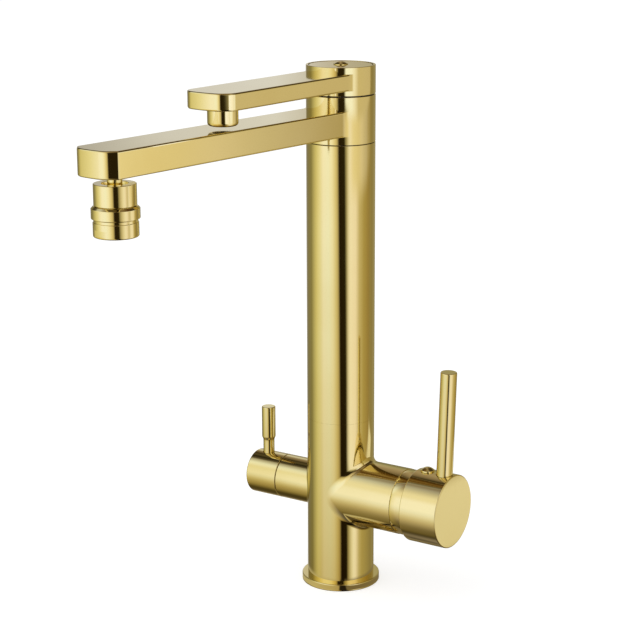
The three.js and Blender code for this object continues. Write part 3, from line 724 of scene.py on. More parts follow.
@dataclass
class ValveBody(SubAssembly):
    """The lower column with the mixer horn on one side and the filter boss on the other."""

    horn: Branch = Branch(1, 21.1, 49.3, (17.75, 23.4), 5.6)
    boss: Branch = Branch(-1, BOSS_R, 42.0, (10.3, 24.0), 1.8)
    rim: float = 0.25
    inlets: tuple[tuple[float, float], ...] = ((6, 9.5), (6, -9.5), (-10.5, 0))
    inlet_bore: float = 4.4
    stud_holes: tuple[tuple[float, float], ...] = ((-7, 12), (-7, -12))
    stud_bore: float = 2.5
    hole_depth: float = 14.0
    rise: int = 96  # steps from the foot to the top of a half column
    sweep: int = 72  # steps across it

    def border(self) -> tuple[Array, Array]:
        """The rim of one half of the column, unrolled.

        Formula: an evenly stepped walk round the rectangle between the angles -90 and 90 degrees
        and between the foot and the top of the column, anticlockwise from its lower right corner.

        Returns:
            The angle, in radians, and the height of each point, both from the horn's axis.
        """
        half, up, across = np.pi / 2, self.rise, self.sweep
        heights = np.linspace(FLANGE_T - VALVE_Z, BODY_TOP - VALVE_Z, up + 1)
        angles = np.linspace(-half, half, across + 1)
        angle = np.concatenate([np.full(up, half), angles[:0:-1], np.full(up, -half), angles[:-1]])
        low, high = np.full(across, heights[0]), np.full(across, heights[-1])
        return angle, np.concatenate([heights[:-1], high, heights[:0:-1], low])

    def half(self, branch: Branch) -> Skin:
        """One half of the body: pocket, branch, rolling-ball fillet and half column.

        Formula: a ball that touches both cylinders has its centre at the sum of the radii from
        each axis; the fillet is the part of the ball between the two points where it touches.
        The ball's radius is the fillet's width over the angle between the two walls, so that the
        fillet stays equally wide where the walls nearly run into each other.

        Args:
            branch: the branch on that side.

        Returns:
            The skin, from the pole of the pocket floor to the rim of the half column.
        """
        radius = branch.radius
        rim_angle, rim_height = self.border()
        ray = np.arctan2(rim_height, rim_angle * COLUMN_R)
        turn = np.linspace(-np.pi, np.pi, TRIALS)

        def size(angle: Array) -> Array:
            """Radius of the ball at an angle round the branch, from the horizontal."""
            return branch.fillet / np.arccos(radius / COLUMN_R * np.cos(angle) ** 2)

        def ball(angle: Array) -> Array:
            """Centre of the ball when it touches the branch at that angle."""
            reach = radius + size(angle)
            side, height = reach * np.cos(angle), reach * np.sin(angle)
            return np.stack([np.sqrt((COLUMN_R + size(angle)) ** 2 - side ** 2), side, height], axis=-1)

        trial = ball(turn)
        trial_ray = np.unwrap(np.arctan2(trial[:, 2], np.arctan2(trial[:, 1], trial[:, 0]) * COLUMN_R))
        angle = np.interp(np.mod(ray + np.pi, 2 * np.pi) - np.pi, trial_ray, turn)
        centre, level = ball(angle), 0 * angle
        on_branch = -size(angle)[:, None] * np.stack([level, np.cos(angle), np.sin(angle)], axis=-1)
        on_column = -size(angle)[:, None] * unit(np.stack([centre[:, 0], centre[:, 1], level], axis=-1))
        fillet = centre + bow(on_branch, on_column, 10)
        touch = fillet[-1]
        touch_angle = np.arctan2(touch[:, 1], touch[:, 0])
        share = np.concatenate([[0.012], np.linspace(0.05, 1, 18)])[:, None]
        way = touch_angle + (rim_angle - touch_angle) * share
        height = touch[:, 2] + (rim_height - touch[:, 2]) * share
        column = np.stack([COLUMN_R * np.cos(way), COLUMN_R * np.sin(way), height], axis=-1)
        bore, floor = branch.pocket
        profile = rounded([(bore, floor), (bore, branch.end), (radius, branch.end), (radius, floor)],
                          [0, 0.2, self.rim, 0])
        far, out = np.concatenate([[[0, floor]], profile[:-1]])[:, ::-1].T[..., None]
        pipe = np.stack([far + level, out * np.cos(angle), out * np.sin(angle)], axis=-1)
        start, stop = pipe[-1], fillet[0]
        lead = start + (stop - start) * np.array([0.25, 0.5, 0.75, 0.99])[:, None, None]
        points = np.concatenate([pipe, lead, fillet, column])
        return Skin(points * np.array([branch.sign, 1, 1])).moved(z=VALVE_Z)

    def cap(self, corners: Sequence[Sequence[float]], radii: Sequence[float]) -> Skin:
        """A turned end of the body on the same columns as its halves; the profile runs to the axis."""
        return Skin(revolve(rounded(corners, radii), 2 * self.sweep).points)

    def build(self) -> None:
        """Builds the body, with the seat of the spout's spindle in its top and holes in its foot."""
        foot = self.cap([(0, 0), (19, 0), (19, FLANGE_T), (COLUMN_R, FLANGE_T)], [0, 0.3, 0, 0])
        top = self.cap([(COLUMN_R, BODY_TOP), (19.2, BODY_TOP), (19.2, 113.6), (17.5, 113.6), (17.5, 116.4),
                        (19.2, 116.4), (19.2, 121), (16.5, 121), (16.5, 92), (0, 92)],
                       [0, 0, 0.1, 0.2, 0.2, 0.1, 0.4, 0.3, 0, 0])
        holes = [drill(self.inlet_bore, -1, self.hole_depth, 64, 2.0).moved(x, y) for x, y in self.inlets]
        holes += [drill(self.stud_bore, -1, self.hole_depth, 48, 1.4).moved(x, y) for x, y in self.stud_holes]
        barrels = [Barrel(COLUMN_R), valve_barrel(self.horn.radius), valve_barrel(self.boss.radius)]
        skins = [self.half(self.horn), self.half(self.boss), foot, top]
        self.add("valve_body", skins, cutters=holes, barrels=barrels)


@dataclass
class Column(SubAssembly):
    """The tube above the body, the glide rings and the cap with its screw."""

    bore: float = 19.5
    ring_bore: float = 14.2
    ring_radii: tuple[float, float] = (20.9, 20.6)
    cap_radius: float = 19.45
    cap_hole: float = 2.6
    sunk: float = 0.2  # of the cap's top in the collar
    screw_end: float = 328.4
    screw_radius: float = 2.2
    head_radius: float = 4.5
    dome_radius: float = 6.25
    dome_drop: float = 4.34  # of the dome's centre under the cap's top

    def build(self) -> None:
        """Builds the tube, rings, cap and screw."""
        tube = rounded(band(self.bore, COLUMN_R, BODY_TOP, COLUMN_TOP), [0.2, 0.08, 0.2, 0.2])
        self.turned("column_tube", tube, columns=ROUND, barrels=[Barrel(COLUMN_R)])
        gaps = ((COLUMN_TOP, MAIN_COLLAR[0]), (MAIN_COLLAR[1], FILTER_COLLAR[0]))
        for node, outer, gap in zip(("lower_glide_ring", "upper_glide_ring"), self.ring_radii, gaps):
            self.turned(node, rounded(band(self.ring_bore, outer, *gap), 0.1), Slot.DARK_PLASTIC, ROUND)
        top = FILTER_COLLAR[1] - self.sunk
        cap = rounded(band(self.cap_hole, self.cap_radius, CAP_FLOOR, top), [0, 0.2, 0.25, 0])
        self.turned("top_cap", cap, columns=ROUND)
        shank = [(0, self.screw_end), (self.screw_radius, self.screw_end), (self.screw_radius, top)]
        head = rounded(band(0, self.head_radius, top, top + 0.4), [0, 0.1, 0, 0])[1:-1]
        dome = arc((0, top - self.dome_drop), self.dome_radius, 45.5, 90, 14)
        self.turned("cap_screw", np.concatenate([shank, head, dome]))


@dataclass(frozen=True)
class ArmPlan:
    """Plan of a flat arm that grows out of its round collar, pointing to -Y.

    Args:
        half_width: half the arm's width.
        length: distance of its end from the column's axis.
        corner: radius between the side and the facet at each end corner.
        facet: length of that facet, which stands at 45 degrees.
        bend: radius between the facet and the end.
        sweep: radius of the shallow curve across the end.
        root: radius of the fillets at the collar.
        edge: rounding of the arm's upper and lower edges.
    """

    half_width: float
    length: float
    corner: float
    facet: float
    bend: float
    sweep: float = 60.0
    root: float = 7.5
    edge: float = 1.0

    def right(self) -> tuple[Array, Array, Array, Array]:
        """The right side of the arm from the collar to the middle of its end.

        Formula: a fillet arc that touches the collar and the side, the straight side, an arc, a
        facet at 45 degrees, an arc, and a shallow arc across the end; each arc's centre follows
        from the one before, because neighbours touch.

        Returns:
            The outline's points, its outward normals, the share of the edge rounding, and the
            angle on the collar, in degrees from -Y, that each point is joined to.
        """
        w, leg, swing = self.half_width, self.facet / np.sqrt(2), (self.bend - self.corner) / np.sqrt(2)
        hub = np.array([w + self.root, -np.sqrt((COLUMN_R + self.root) ** 2 - (w + self.root) ** 2)])
        fillet = arc(hub, self.root, np.degrees(np.arctan2(-hub[1], -hub[0])), 180, 10)
        across = w - self.corner - leg - swing
        slope = np.arcsin(across / (self.sweep - self.bend))
        sweep_centre = np.array([0, self.sweep - self.length])
        bend_centre = sweep_centre + (self.sweep - self.bend) * np.array([np.sin(slope), -np.cos(slope)])
        corner_centre = np.array([w - self.corner, bend_centre[1] + leg - swing])
        tilt = np.degrees(slope) - 90
        first = arc(corner_centre, self.corner, 0, -45, 6)
        second = arc(bend_centre, self.bend, -45, tilt, 10)
        end = arc(sweep_centre, self.sweep, tilt, -90, 9)[1:]
        ends = [unit(first - corner_centre), unit(second - bend_centre), unit(end - sweep_centre)]
        run = np.array([0.004, 0.02, 0.05, 0.1, 0.2, 0.4, 0.65, 0.85, 0.97, 0.994])[:, None]
        side = fillet[-1] + (first[0] - fillet[-1]) * run
        side_normal = np.broadcast_to([1.0, 0.0], side.shape)
        points = np.concatenate([fillet, side, first, second, end])
        normals = np.concatenate([unit(hub - fillet), side_normal, *ends])
        rise = np.linspace(0, 1, len(fillet)) ** 2.2
        share = np.concatenate([rise, np.ones(len(points) - len(fillet))])
        on_fillet = np.degrees(np.arctan2(fillet[:, 0], -fillet[:, 1]))
        rest = np.linspace(on_fillet[-1], 0, len(points) - len(fillet) + 1)[1:]
        return points, normals, share, np.concatenate([on_fillet, rest])

    def around(self) -> tuple[Array, Array, Array, Array]:
        """The whole outline, anticlockwise from the right root round the back of the collar.

        Returns:
            Points, outward normals, share of the edge rounding, and points of the collar's unit
            circle in the same order.
        """
        points, normals, share, angle = self.right()
        mirror = np.array([-1.0, 1.0])
        back_angle = np.radians(np.linspace(angle[0] - 90, 270 - angle[0], 132)[1:-1])
        back = np.stack([np.cos(back_angle), np.sin(back_angle)], axis=1)
        front = np.radians(angle)
        ring = np.stack([np.sin(front), -np.cos(front)], axis=1)
        outline = np.concatenate([back * COLUMN_R, points * mirror, points[::-1][1:]])
        normal = np.concatenate([back, normals * mirror, normals[::-1][1:]])
        rounding = np.concatenate([np.zeros(len(back)), share, share[::-1][1:]])
        circle = np.concatenate([back, ring * mirror, ring[::-1][1:]])
        return outline, normal, rounding, circle


def spout_skin(plan: ArmPlan, floor: float, roof: float, lower: Array, upper: Array) -> Skin:
    """Collar and arm of a spout as one surface.

    Formula: each column runs up the collar, out along the arm's underside, round its edge, up
    its side, round the upper edge, back to the collar and on up; behind the collar the arm's
    rows fall on the collar's own wall.

    Args:
        plan: the arm in plan.
        floor: underside of the arm.
        roof: top of the arm.
        lower: profile of the collar from its bore to the arm's floor, radius and height.
        upper: profile of the collar from the arm's roof back to the bore.

    Returns:
        The skin, a ring.
    """
    outline, normal, rounding, circle = plan.around()

    def collar(profile: Array) -> Array:
        """Rows of the collar: radius times the unit circle, at the profile's heights."""
        return raised(profile[:, None, :1] * circle, profile[:, None, 1:])

    edge = plan.edge * rounding[:, None]
    quarter = np.radians(np.linspace(0, 90, 7))[:, None, None]
    inset = outline - normal * edge * (1 - np.sin(quarter))
    rise = edge * (1 - np.cos(quarter))
    lead = outline - normal * (edge + LEAD * rounding[:, None])
    levels = (floor + edge + LEAD, (floor + roof) / 2, roof - edge - LEAD)
    wall = np.stack([raised(outline, level) for level in levels])
    rows = [collar(lower), raised(lead, floor)[None], raised(inset, floor + rise), wall,
            raised(inset, roof - rise)[::-1], raised(lead, roof)[None], collar(upper)]
    return Skin(np.concatenate(rows), ring=True)


@dataclass
class Spout(SubAssembly):
    """A flat arm that grows out of its collar on the column.

    Args:
        plan: the arm in plan.
        collar: lowest and highest level of the collar.
        floor: underside of the arm.
        roof: top of the arm.
        bore: radius of the collar's bore.
        turn: direction of the arm at rest, in degrees from -Y.
    """

    plan: ArmPlan
    collar: tuple[float, float]
    floor: float
    roof: float
    bore: float
    turn: float

    def spout(self, upper: Array) -> None:
        """Builds the spout; upper is the collar's profile from the arm's roof back to the bore."""
        lower = rounded(band(self.bore, COLUMN_R, self.collar[0], self.floor), [0.2, 0.25, 0, 0])[:-1]
        skin = spout_skin(self.plan, self.floor, self.roof, lower, upper).turned(self.turn)
        self.add(self.body, [skin], barrels=[Barrel(COLUMN_R)])


@dataclass
class MainSpout(Spout):
    """The long lower arm with its collar and the ball stem under its end."""

    plan: ArmPlan = ArmPlan(half_width=15.5, length=214.0, corner=1.0, facet=4.4, bend=9.0)
    collar: tuple[float, float] = MAIN_COLLAR
    floor: float = 294.0
    roof: float = 309.4
    bore: float = 13.7
    turn: float = MAIN_TURN
    ball: float = 7.0
    neck: float = 4.15
    neck_foot: float = 285.0  # start of the neck's wall, inside the ball
    stem_bore: float = 2.6
    flat: float = 3.4  # radius of the flat under the ball
    flange: tuple[float, float, float] = (7.0, 292.3, 293.2)  # radius, lower and upper side
    shank: tuple[float, float] = (6.0, 301.0)  # radius and top of the part in the arm

    def build(self) -> None:
        """Builds the arm, the ball stem and its seal."""
        upper = band(self.bore, COLUMN_R, self.roof, self.collar[1])
        self.spout(rounded(upper, [0, 0, 0.25, 0.2])[1:])
        radius, low, high = self.flange
        shank, top = self.shank
        cut = np.degrees(np.arccos(self.flat / self.ball))
        stem = np.concatenate([
            [(self.stem_bore, BALL_Z - self.ball * np.sin(np.radians(cut)))],
            arc((0, BALL_Z), self.ball, -cut, np.degrees(np.arccos(self.neck / self.ball)), 26),
            rounded([(self.neck, self.neck_foot), (self.neck, low), (radius, low), (radius, high),
                     (shank, high), (shank, top), (self.stem_bore, top)],
                    [0, 0.8, 0.15, 0.15, 0, 0.3, 0.2])[1:]])
        self.turned("ball_stem", stem, spot=AERATOR)
        seal = rounded(band(shank + 0.1, radius, high, self.floor), 0.15)
        self.turned("ball_stem_seal", seal, Slot.RUBBER, spot=AERATOR)


@dataclass
class AeratorHead(SubAssembly):
    """The swivel housing that tilts about the ball, with its collar and the aerator."""

    cup: float = 7.25  # radius of the seat of the ball
    lip: float = 3.6  # height of the seat's rim over the ball's centre
    bore: float = 9.2
    thread: float = 10.8
    radius: float = 11.8
    foot: float = 271.4
    shoulder: float = 277.3
    top: float = 289.3
    flat: float = 11.7  # distance of a wrench flat from the aerator's axis
    flat_levels: tuple[float, float] = (261.0, 264.8)

    def flats(self) -> list[Skin]:
        """Blocks that cut the two wrench flats, each a prism that tapers to a point at both ends."""
        block = np.array(band(-6, 6, -6, 6), float)
        low, high = self.flat_levels
        skins = []
        for side in (-1, 1):
            plan = np.stack([block[:, 0], side * (self.flat + 2 + block[:, 1] / 3)], axis=1)[::side]
            rows = [raised(plan * scale + (1 - scale) * plan.mean(0), level)
                    for scale, level in ((0, low), (1, low), (1, high), (0, high))]
            skins.append(Skin(np.stack(rows)).under(AERATOR))
        return skins

    def build(self) -> None:
        """Builds the housing, collar, aerator body and washer."""
        wall = rounded([(self.bore, self.foot), (self.thread, self.foot), (self.thread, self.shoulder),
                        (self.radius, self.shoulder), (self.radius, self.top), (7.3, self.top)],
                       [0, 0.1, 0, 0.5, 0.4, 0.3])[:-1]
        seat = arc((0, BALL_Z), self.cup, np.degrees(np.arcsin(self.lip / self.cup)), 6, 10)
        housing = np.concatenate([wall, seat, [(self.bore, BALL_Z + 0.7)]])
        self.turned("swivel_housing", housing, spot=AERATOR)
        ring = rounded([(11.1, 270.2), (13.4, 270.2), (13.4, 275.8), (12.1, 277.1), (11.1, 277.1)],
                       [0, 0.4, 0.3, 0.3, 0])
        self.turned("swivel_collar", ring, spot=AERATOR)
        skirt = rounded([(7.6, 269.3), (10.9, 269.3), (10.9, 260.2), (12.55, 260.2), (12.55, 268.4),
                         (12.1, 268.4), (12.1, 269.9), (9, 269.9), (9, 275.2), (7.6, 275.2)],
                        [0, 0, 0.15, 0.9, 0.4, 0, 0.1, 0, 0.3, 0.2])
        self.turned("aerator_body", skirt, columns=128, spot=AERATOR, cutters=self.flats())
        washer = rounded(band(7.8, 10.6, 268.2, 269.1), 0.2)
        self.turned("aerator_washer", washer, Slot.RUBBER, spot=AERATOR)


@dataclass
class FilterSpout(Spout):
    """The short upper arm with its collar and the nozzle under its end."""

    plan: ArmPlan = ArmPlan(half_width=16.9, length=132.0, corner=7.3, facet=3.0, bend=7.3)
    collar: tuple[float, float] = FILTER_COLLAR
    floor: float = 321.8
    roof: float = 331.9
    bore: float = 9.2
    turn: float = FILTER_TURN
    recess: float = 20.0
    nozzle_radius: float = 8.9
    nozzle_bottom: float = 311.4
    insert: tuple[float, float] = (6.2, 318.5)  # radius and roof of the room for the insert
    spigot: tuple[float, float] = (5.4, 326.0)  # radius and top of the part in the arm
    way: float = 3.4  # radius of the water way

    def build(self) -> None:
        """Builds the arm, with the recess for the cap in its collar, and the nozzle."""
        high, sunk = self.collar[1], CAP_FLOOR - 0.3
        upper = [(self.bore, self.roof), (COLUMN_R, self.roof), (COLUMN_R, high), (self.recess, high),
                 (self.recess, sunk), (self.bore, sunk)]
        self.spout(rounded(upper, [0, 0, 0.3, 0.15, 0, 0.2])[1:])
        low, wide = self.nozzle_bottom, self.nozzle_radius
        (room, roof), (spigot, top) = self.insert, self.spigot
        nozzle = rounded([(room, roof), (room, low), (wide, low), (wide, self.floor), (spigot, self.floor),
                          (spigot, top), (self.way, top), (self.way, roof)], [0, 0.3, 2.0, 0, 0, 0.2, 0.2, 0])
        self.turned("filter_nozzle", nozzle, spot=NOZZLE)


@dataclass
class MixerShroud(SubAssembly):
    """The fixed ring between the horn and the mixer hub, drawn in round the lever's pivot."""

    pivot: float = 53.5
    radius: float = 20.95
    swing: float = 21.2
    inner: float = 19.2
    rear: float = 49.3
    front: float = 59.5

    def build(self) -> None:
        """Builds the ring.

        Formula: a straight barrel whose two ends, and whose inside, follow circles about the pivot.
        """
        ends = np.array([self.rear, self.front]) - self.pivot
        start, end = np.degrees(np.arcsin(ends / self.swing))
        back, ahead = np.degrees(np.arcsin(ends / self.inner))
        flat = np.degrees(np.arccos(self.radius / self.swing))
        middle = (0, self.pivot)
        outline = np.concatenate([
            arc(middle, self.swing, start, -flat, 6), arc(middle, self.swing, flat, end, 10),
            arc(middle, self.inner, ahead, back, 16)])
        self.add("mixer_shroud", [revolve(outline, ROUND).lying(1)])


@dataclass
class MixerHandle(SubAssembly):
    """The hub, its lever and the plug over the grub screw."""

    rear: float = 57.9
    face: float = 83.6
    bore: float = 21.4
    edge: float = 0.6
    lever_x: float = 76.4
    lever_radius: float = 5.18
    lever_top: float = 89.9
    lean: float = 1.7  # of the lever, in degrees
    tang: tuple[float, float] = (2.8, 12.0)  # radius and foot of the lever's thin end
    wall: float = 3.0
    plug_x: float = 64.9
    plug_radius: float = 4.4
    socket_floor: float = 21.4
    spot_floor: float = 22.8

    def build(self) -> None:
        """Builds the hub, the lever and the plug."""
        roof, edge = self.face - self.wall, self.edge
        cup = rounded([(0, self.face), (0, roof), (self.bore, roof), (self.bore, self.rear),
                       (HUB_R, self.rear), (HUB_R, self.face)], [0, 0, 0, 0.2, edge, edge])[1:]
        hub = revolve(np.concatenate([cup, [[0, self.face]]]), 240).lying(1)
        socket = drill(self.lever_radius + 0.3, 0, 9, 96).moved(z=self.socket_floor).leaning(self.lean)
        spot = drill(self.plug_radius + 0.15, 0, 9, 72)
        cutters = [socket.moved(self.lever_x, 0, VALVE_Z),
                   spot.moved(self.plug_x, 0, VALVE_Z + self.spot_floor)]
        self.add("mixer_hub", [hub], cutters=cutters, barrels=[valve_barrel(HUB_R)])
        r, (tang, foot), shoulder, top = self.lever_radius, self.tang, self.socket_floor + 0.3, self.lever_top
        rod = rounded([(0, foot), (tang, foot), (tang, shoulder), (r, shoulder), (r, top), (0, top)],
                      [0, 0.2, 0, 0.2, edge, 0])
        self.add("mixer_lever", [revolve(rod).leaning(self.lean).moved(self.lever_x, 0, VALVE_Z)])
        r = self.plug_radius
        rim = rounded([(2.3, 23.1), (r, 23.1), (r, 24.1), (2.9, 24.9)], [0, 0.1, 0.4, 0])[1:-1]
        plug = np.concatenate([[(0, 19.5), (2.3, 19.5), (2.3, 23.1)], rim, arc((0, 20.0), 5.9, 59, 90, 12)])
        self.add("index_plug", [revolve(plug, 64).moved(self.plug_x, 0, VALVE_Z)])


@dataclass
class FilterHandle(SubAssembly):
    """The hub and lever of the filtered water valve."""

    rear: float = 42.5
    end: float = 65.4
    lever_x: float = 56.65
    neck: float = 3.7
    radius: float = 4.5
    swell: tuple[float, float] = (22.6, 25.4)  # levels between which the neck widens
    lever_top: float = 45.6
    tang: tuple[float, float] = (2.3, 4.6)  # radius and foot of the lever's thin end
    socket: float = 12.6

    def build(self) -> None:
        """Builds the hub and the lever."""
        cup = rounded([(0, 61.5), (4.3, 61.5), (4.3, 50.6), (12.2, 50.6), (12.2, self.rear),
                       (BOSS_R, self.rear), (BOSS_R, self.end), (0, self.end)],
                      [0, 0, 0.2, 0, 0.2, 0.5, 0.8, 0])
        socket = drill(self.neck + 0.3, self.socket, 20, 72).moved(-self.lever_x, 0, VALVE_Z)
        hub = revolve(cup, 200).lying(-1)
        self.add("filter_hub", [hub], cutters=[socket], barrels=[valve_barrel(BOSS_R)])
        (tang, low), shoulder = self.tang, self.socket + 0.3
        foot = rounded([(0, low), (tang, low), (tang, shoulder), (self.neck, shoulder), (self.neck, 21)],
                       [0, 0.2, 0, 0.1, 0])
        share = np.linspace(0, 1, 12)
        low, high = self.swell
        width = self.neck + (self.radius - self.neck) * share ** 2 * (3 - 2 * share)
        swell = np.stack([width, low + (high - low) * share], axis=1)
        head = rounded([(self.radius, high), (self.radius, self.lever_top), (0, self.lever_top)], [0, 0.5, 0])
        rod = revolve(np.concatenate([foot, swell, head[1:]]))
        self.add("filter_lever", [rod.moved(-self.lever_x, 0, VALVE_Z)])


@dataclass
class InnerParts:
    """The CAD nodes that stay as they are: seals, cartridge, spindles, discs and inserts.

    Args:
        palette: the finishes.
        slots: the nodes of each slot.
    """

    palette: Palette
    slots: dict[Slot, tuple[str, ...]] = field(default_factory=lambda: {
        Slot.BRASS: ("spout_spindle", "cartridge_nut", "filter_headwork", "filter_spindle"),
        Slot.STEEL: ("filtered_water_tube", "turret_pin", "mixer_stem", "mixer_grub_screw"),
        Slot.RUBBER: ("tube_seal", "spindle_seal", "main_seal_lower", "main_seal_upper",
                      "filter_seal_lower", "filter_seal_upper", "cartridge_base_seal", "nozzle_seal",
                      "seat_washer", "spindle_o_ring"),
        Slot.PLASTIC: ("cartridge_body", "disc_carrier", "cartridge_turret", "ball_seat"),
        Slot.DARK_PLASTIC: ("aerator_insert", "nozzle_insert"),
        Slot.CERAMIC: ("fixed_disc", "moving_disc", "filter_fixed_disc", "filter_moving_disc"),
    })

    def build(self) -> None:
        """Gives every node its finish."""
        for slot, names in self.slots.items():
            for name in names:
                self.palette.dress(frame["nodes"][name], slot)
                LOG.info("kept %s in %s", name, slot.value)


# ---------------------------------------------------------------- studio and camera


UNSEEN = ("camera", "diffuse", "transmission", "shadow", "volume_scatter")
WHITE = (1.0, 1.0, 1.0)


def stage_piece(mesh: bpy.types.Mesh, paint: bpy.types.Material, unseen: Sequence[str]) -> None:
    """Puts a mesh in the scene as part of the studio, hidden from the named kinds of ray."""
    mesh.materials.append(paint)
    piece = bpy.data.objects.new(mesh.name, mesh)
    bpy.context.scene.collection.objects.link(piece)
    for kind in unseen:
        setattr(piece, f"visible_{kind}", False)


@dataclass(frozen=True)
class Card:
    """A sheet of light near the tap, with soft edges, that only the metal mirrors.

    Args:
        name: name of the sheet.
        low: least x, y and z of the sheet, in metres.
        high: greatest x, y and z; equal to the least along the axis that it faces.
        along: axis that its light changes along.
        stops: place on that axis, in metres, and the light there; for a round sheet the angle
            from the camera's side, in degrees.
        fades: for each axis, the widths of the soft edges at its low and its high end.
        disc: for a round sheet, the distances from the origin at which it fades out.
    """

    name: str
    low: tuple[float, float, float]
    high: tuple[float, float, float]
    along: int
    stops: tuple[tuple[float, Colour], ...]
    fades: tuple[tuple[float, float], ...]
    disc: tuple[float, float] | None = None

    def shader(self, tree: ShaderTree) -> Wire:
        """The sheet's light, which gives way to clear at the soft edges."""
        place = tree.axes(tree.position())
        along = place[self.along]
        if self.disc is None:
            cover: Wire | float = 1.0
            for axis, low, high, (before, after) in zip(place, self.low, self.high, self.fades):
                if high > low:
                    cover = axis.step(low, low + before) * cover
                    cover = (1 - axis.step(high - after, high)) * cover
        else:
            x, y, _ = tree.axes(tree.position(turn=-CAMERA_SIDE))
            along = bearing(x, y)
            reach = tree.node("ShaderNodeVectorMath", {"operation": "LENGTH"}, {0: tree.position()}, "Value")
            cover = 1 - reach.step(*self.disc)
        light = tree.node("ShaderNodeEmission", None, {"Color": tree.ramp(along, self.stops)})
        clear = tree.node("ShaderNodeBsdfTransparent")
        return tree.node("ShaderNodeMixShader", None, {0: cover, 1: clear, 2: light})

    def build(self) -> None:
        """Builds the sheet."""
        across, up = (k for k in range(3) if self.high[k] > self.low[k])
        corners = np.tile(np.array(self.low), (4, 1))
        corners[[1, 2], across] = self.high[across]
        corners[[2, 3], up] = self.high[up]
        mesh = bpy.data.meshes.new(self.name)
        mesh.from_pydata(corners.tolist(), [], [(0, 1, 2, 3)])
        stage_piece(mesh, painted(f"{self.name}_light", self.shader), UNSEEN)


CARDS = (
    Card("right_wall", (0.19, -0.16, 0.0), (0.19, 0.32, 0.36), 1,
         ((-0.16, (1.05, 1.05, 1.15)), (-0.03, (0.98, 0.92, 0.95)), (0.015, (0.63, 0.55, 0.34)),
          (0.08, (0.46, 0.37, 0.15)), (0.17, (0.37, 0.28, 0.11)), (0.32, (0.28, 0.22, 0.1))),
         ((0, 0), (0.08, 0.12), (0.02, 0.03))),
    Card("upper_wall", (0.189, -0.12, 0.215), (0.189, 0.32, 0.36), 1,
         ((-0.12, (1.0, 0.95, 0.95)), (-0.05, (0.9, 0.82, 0.62)), (0.0, (0.82, 0.73, 0.52)),
          (0.04, (0.78, 0.7, 0.57)), (0.08, (0.67, 0.6, 0.47)), (0.12, (0.6, 0.53, 0.42)),
          (0.17, (0.48, 0.4, 0.24)), (0.32, (0.34, 0.28, 0.14))),
         ((0, 0), (0.06, 0.12), (0.03, 0.03))),
    Card("top_wall", (0.188, -0.2, 0.276), (0.188, 0.32, 0.37), 1,
         ((-0.2, (1.1, 1.2, 1.5)), (-0.08, (1.08, 1.15, 1.4)), (-0.04, (0.97, 0.95, 0.98)),
          (0.0, (0.68, 0.6, 0.42)), (0.1, (0.66, 0.58, 0.42)), (0.22, (0.64, 0.56, 0.4)),
          (0.32, (0.5, 0.4, 0.2))),
         ((0, 0), (0.05, 0.1), (0.012, 0.03))),
    Card("spark_card", (0.04, -0.148, 0.3015), (0.04, -0.112, 0.332), 1,
         ((-0.148, (1.15, 1.2, 1.6)), (-0.125, (1.1, 1.1, 1.3)), (-0.112, (0.8, 0.7, 0.5))),
         ((0, 0), (0.0015, 0.012), (0.003, 0.004))),
    Card("foot_card", (-0.044, -0.044, 0.001), (0.044, 0.044, 0.001), 0,
         ((-120, (0.45, 0.42, 0.3)), (-45, (0.6, 0.54, 0.36)), (-15, (0.55, 0.47, 0.3)),
          (-3.5, (0.48, 0.38, 0.2)), (-1.5, (0.02, 0.015, 0.01)), (8, (0.02, 0.015, 0.01)),
          (10.5, (0.2, 0.16, 0.1)), (120, (0.24, 0.2, 0.13))),
         ((0, 0), (0, 0), (0, 0)), (0.03, 0.039)),
    Card("table_card", (0.115, 0.06, 0.002), (0.26, 0.3, 0.002), 1,
         ((0.06, (0.8, 0.75, 0.61)), (0.3, (0.86, 0.81, 0.68))), ((0.02, 0.02), (0.02, 0.03), (0, 0))),
)


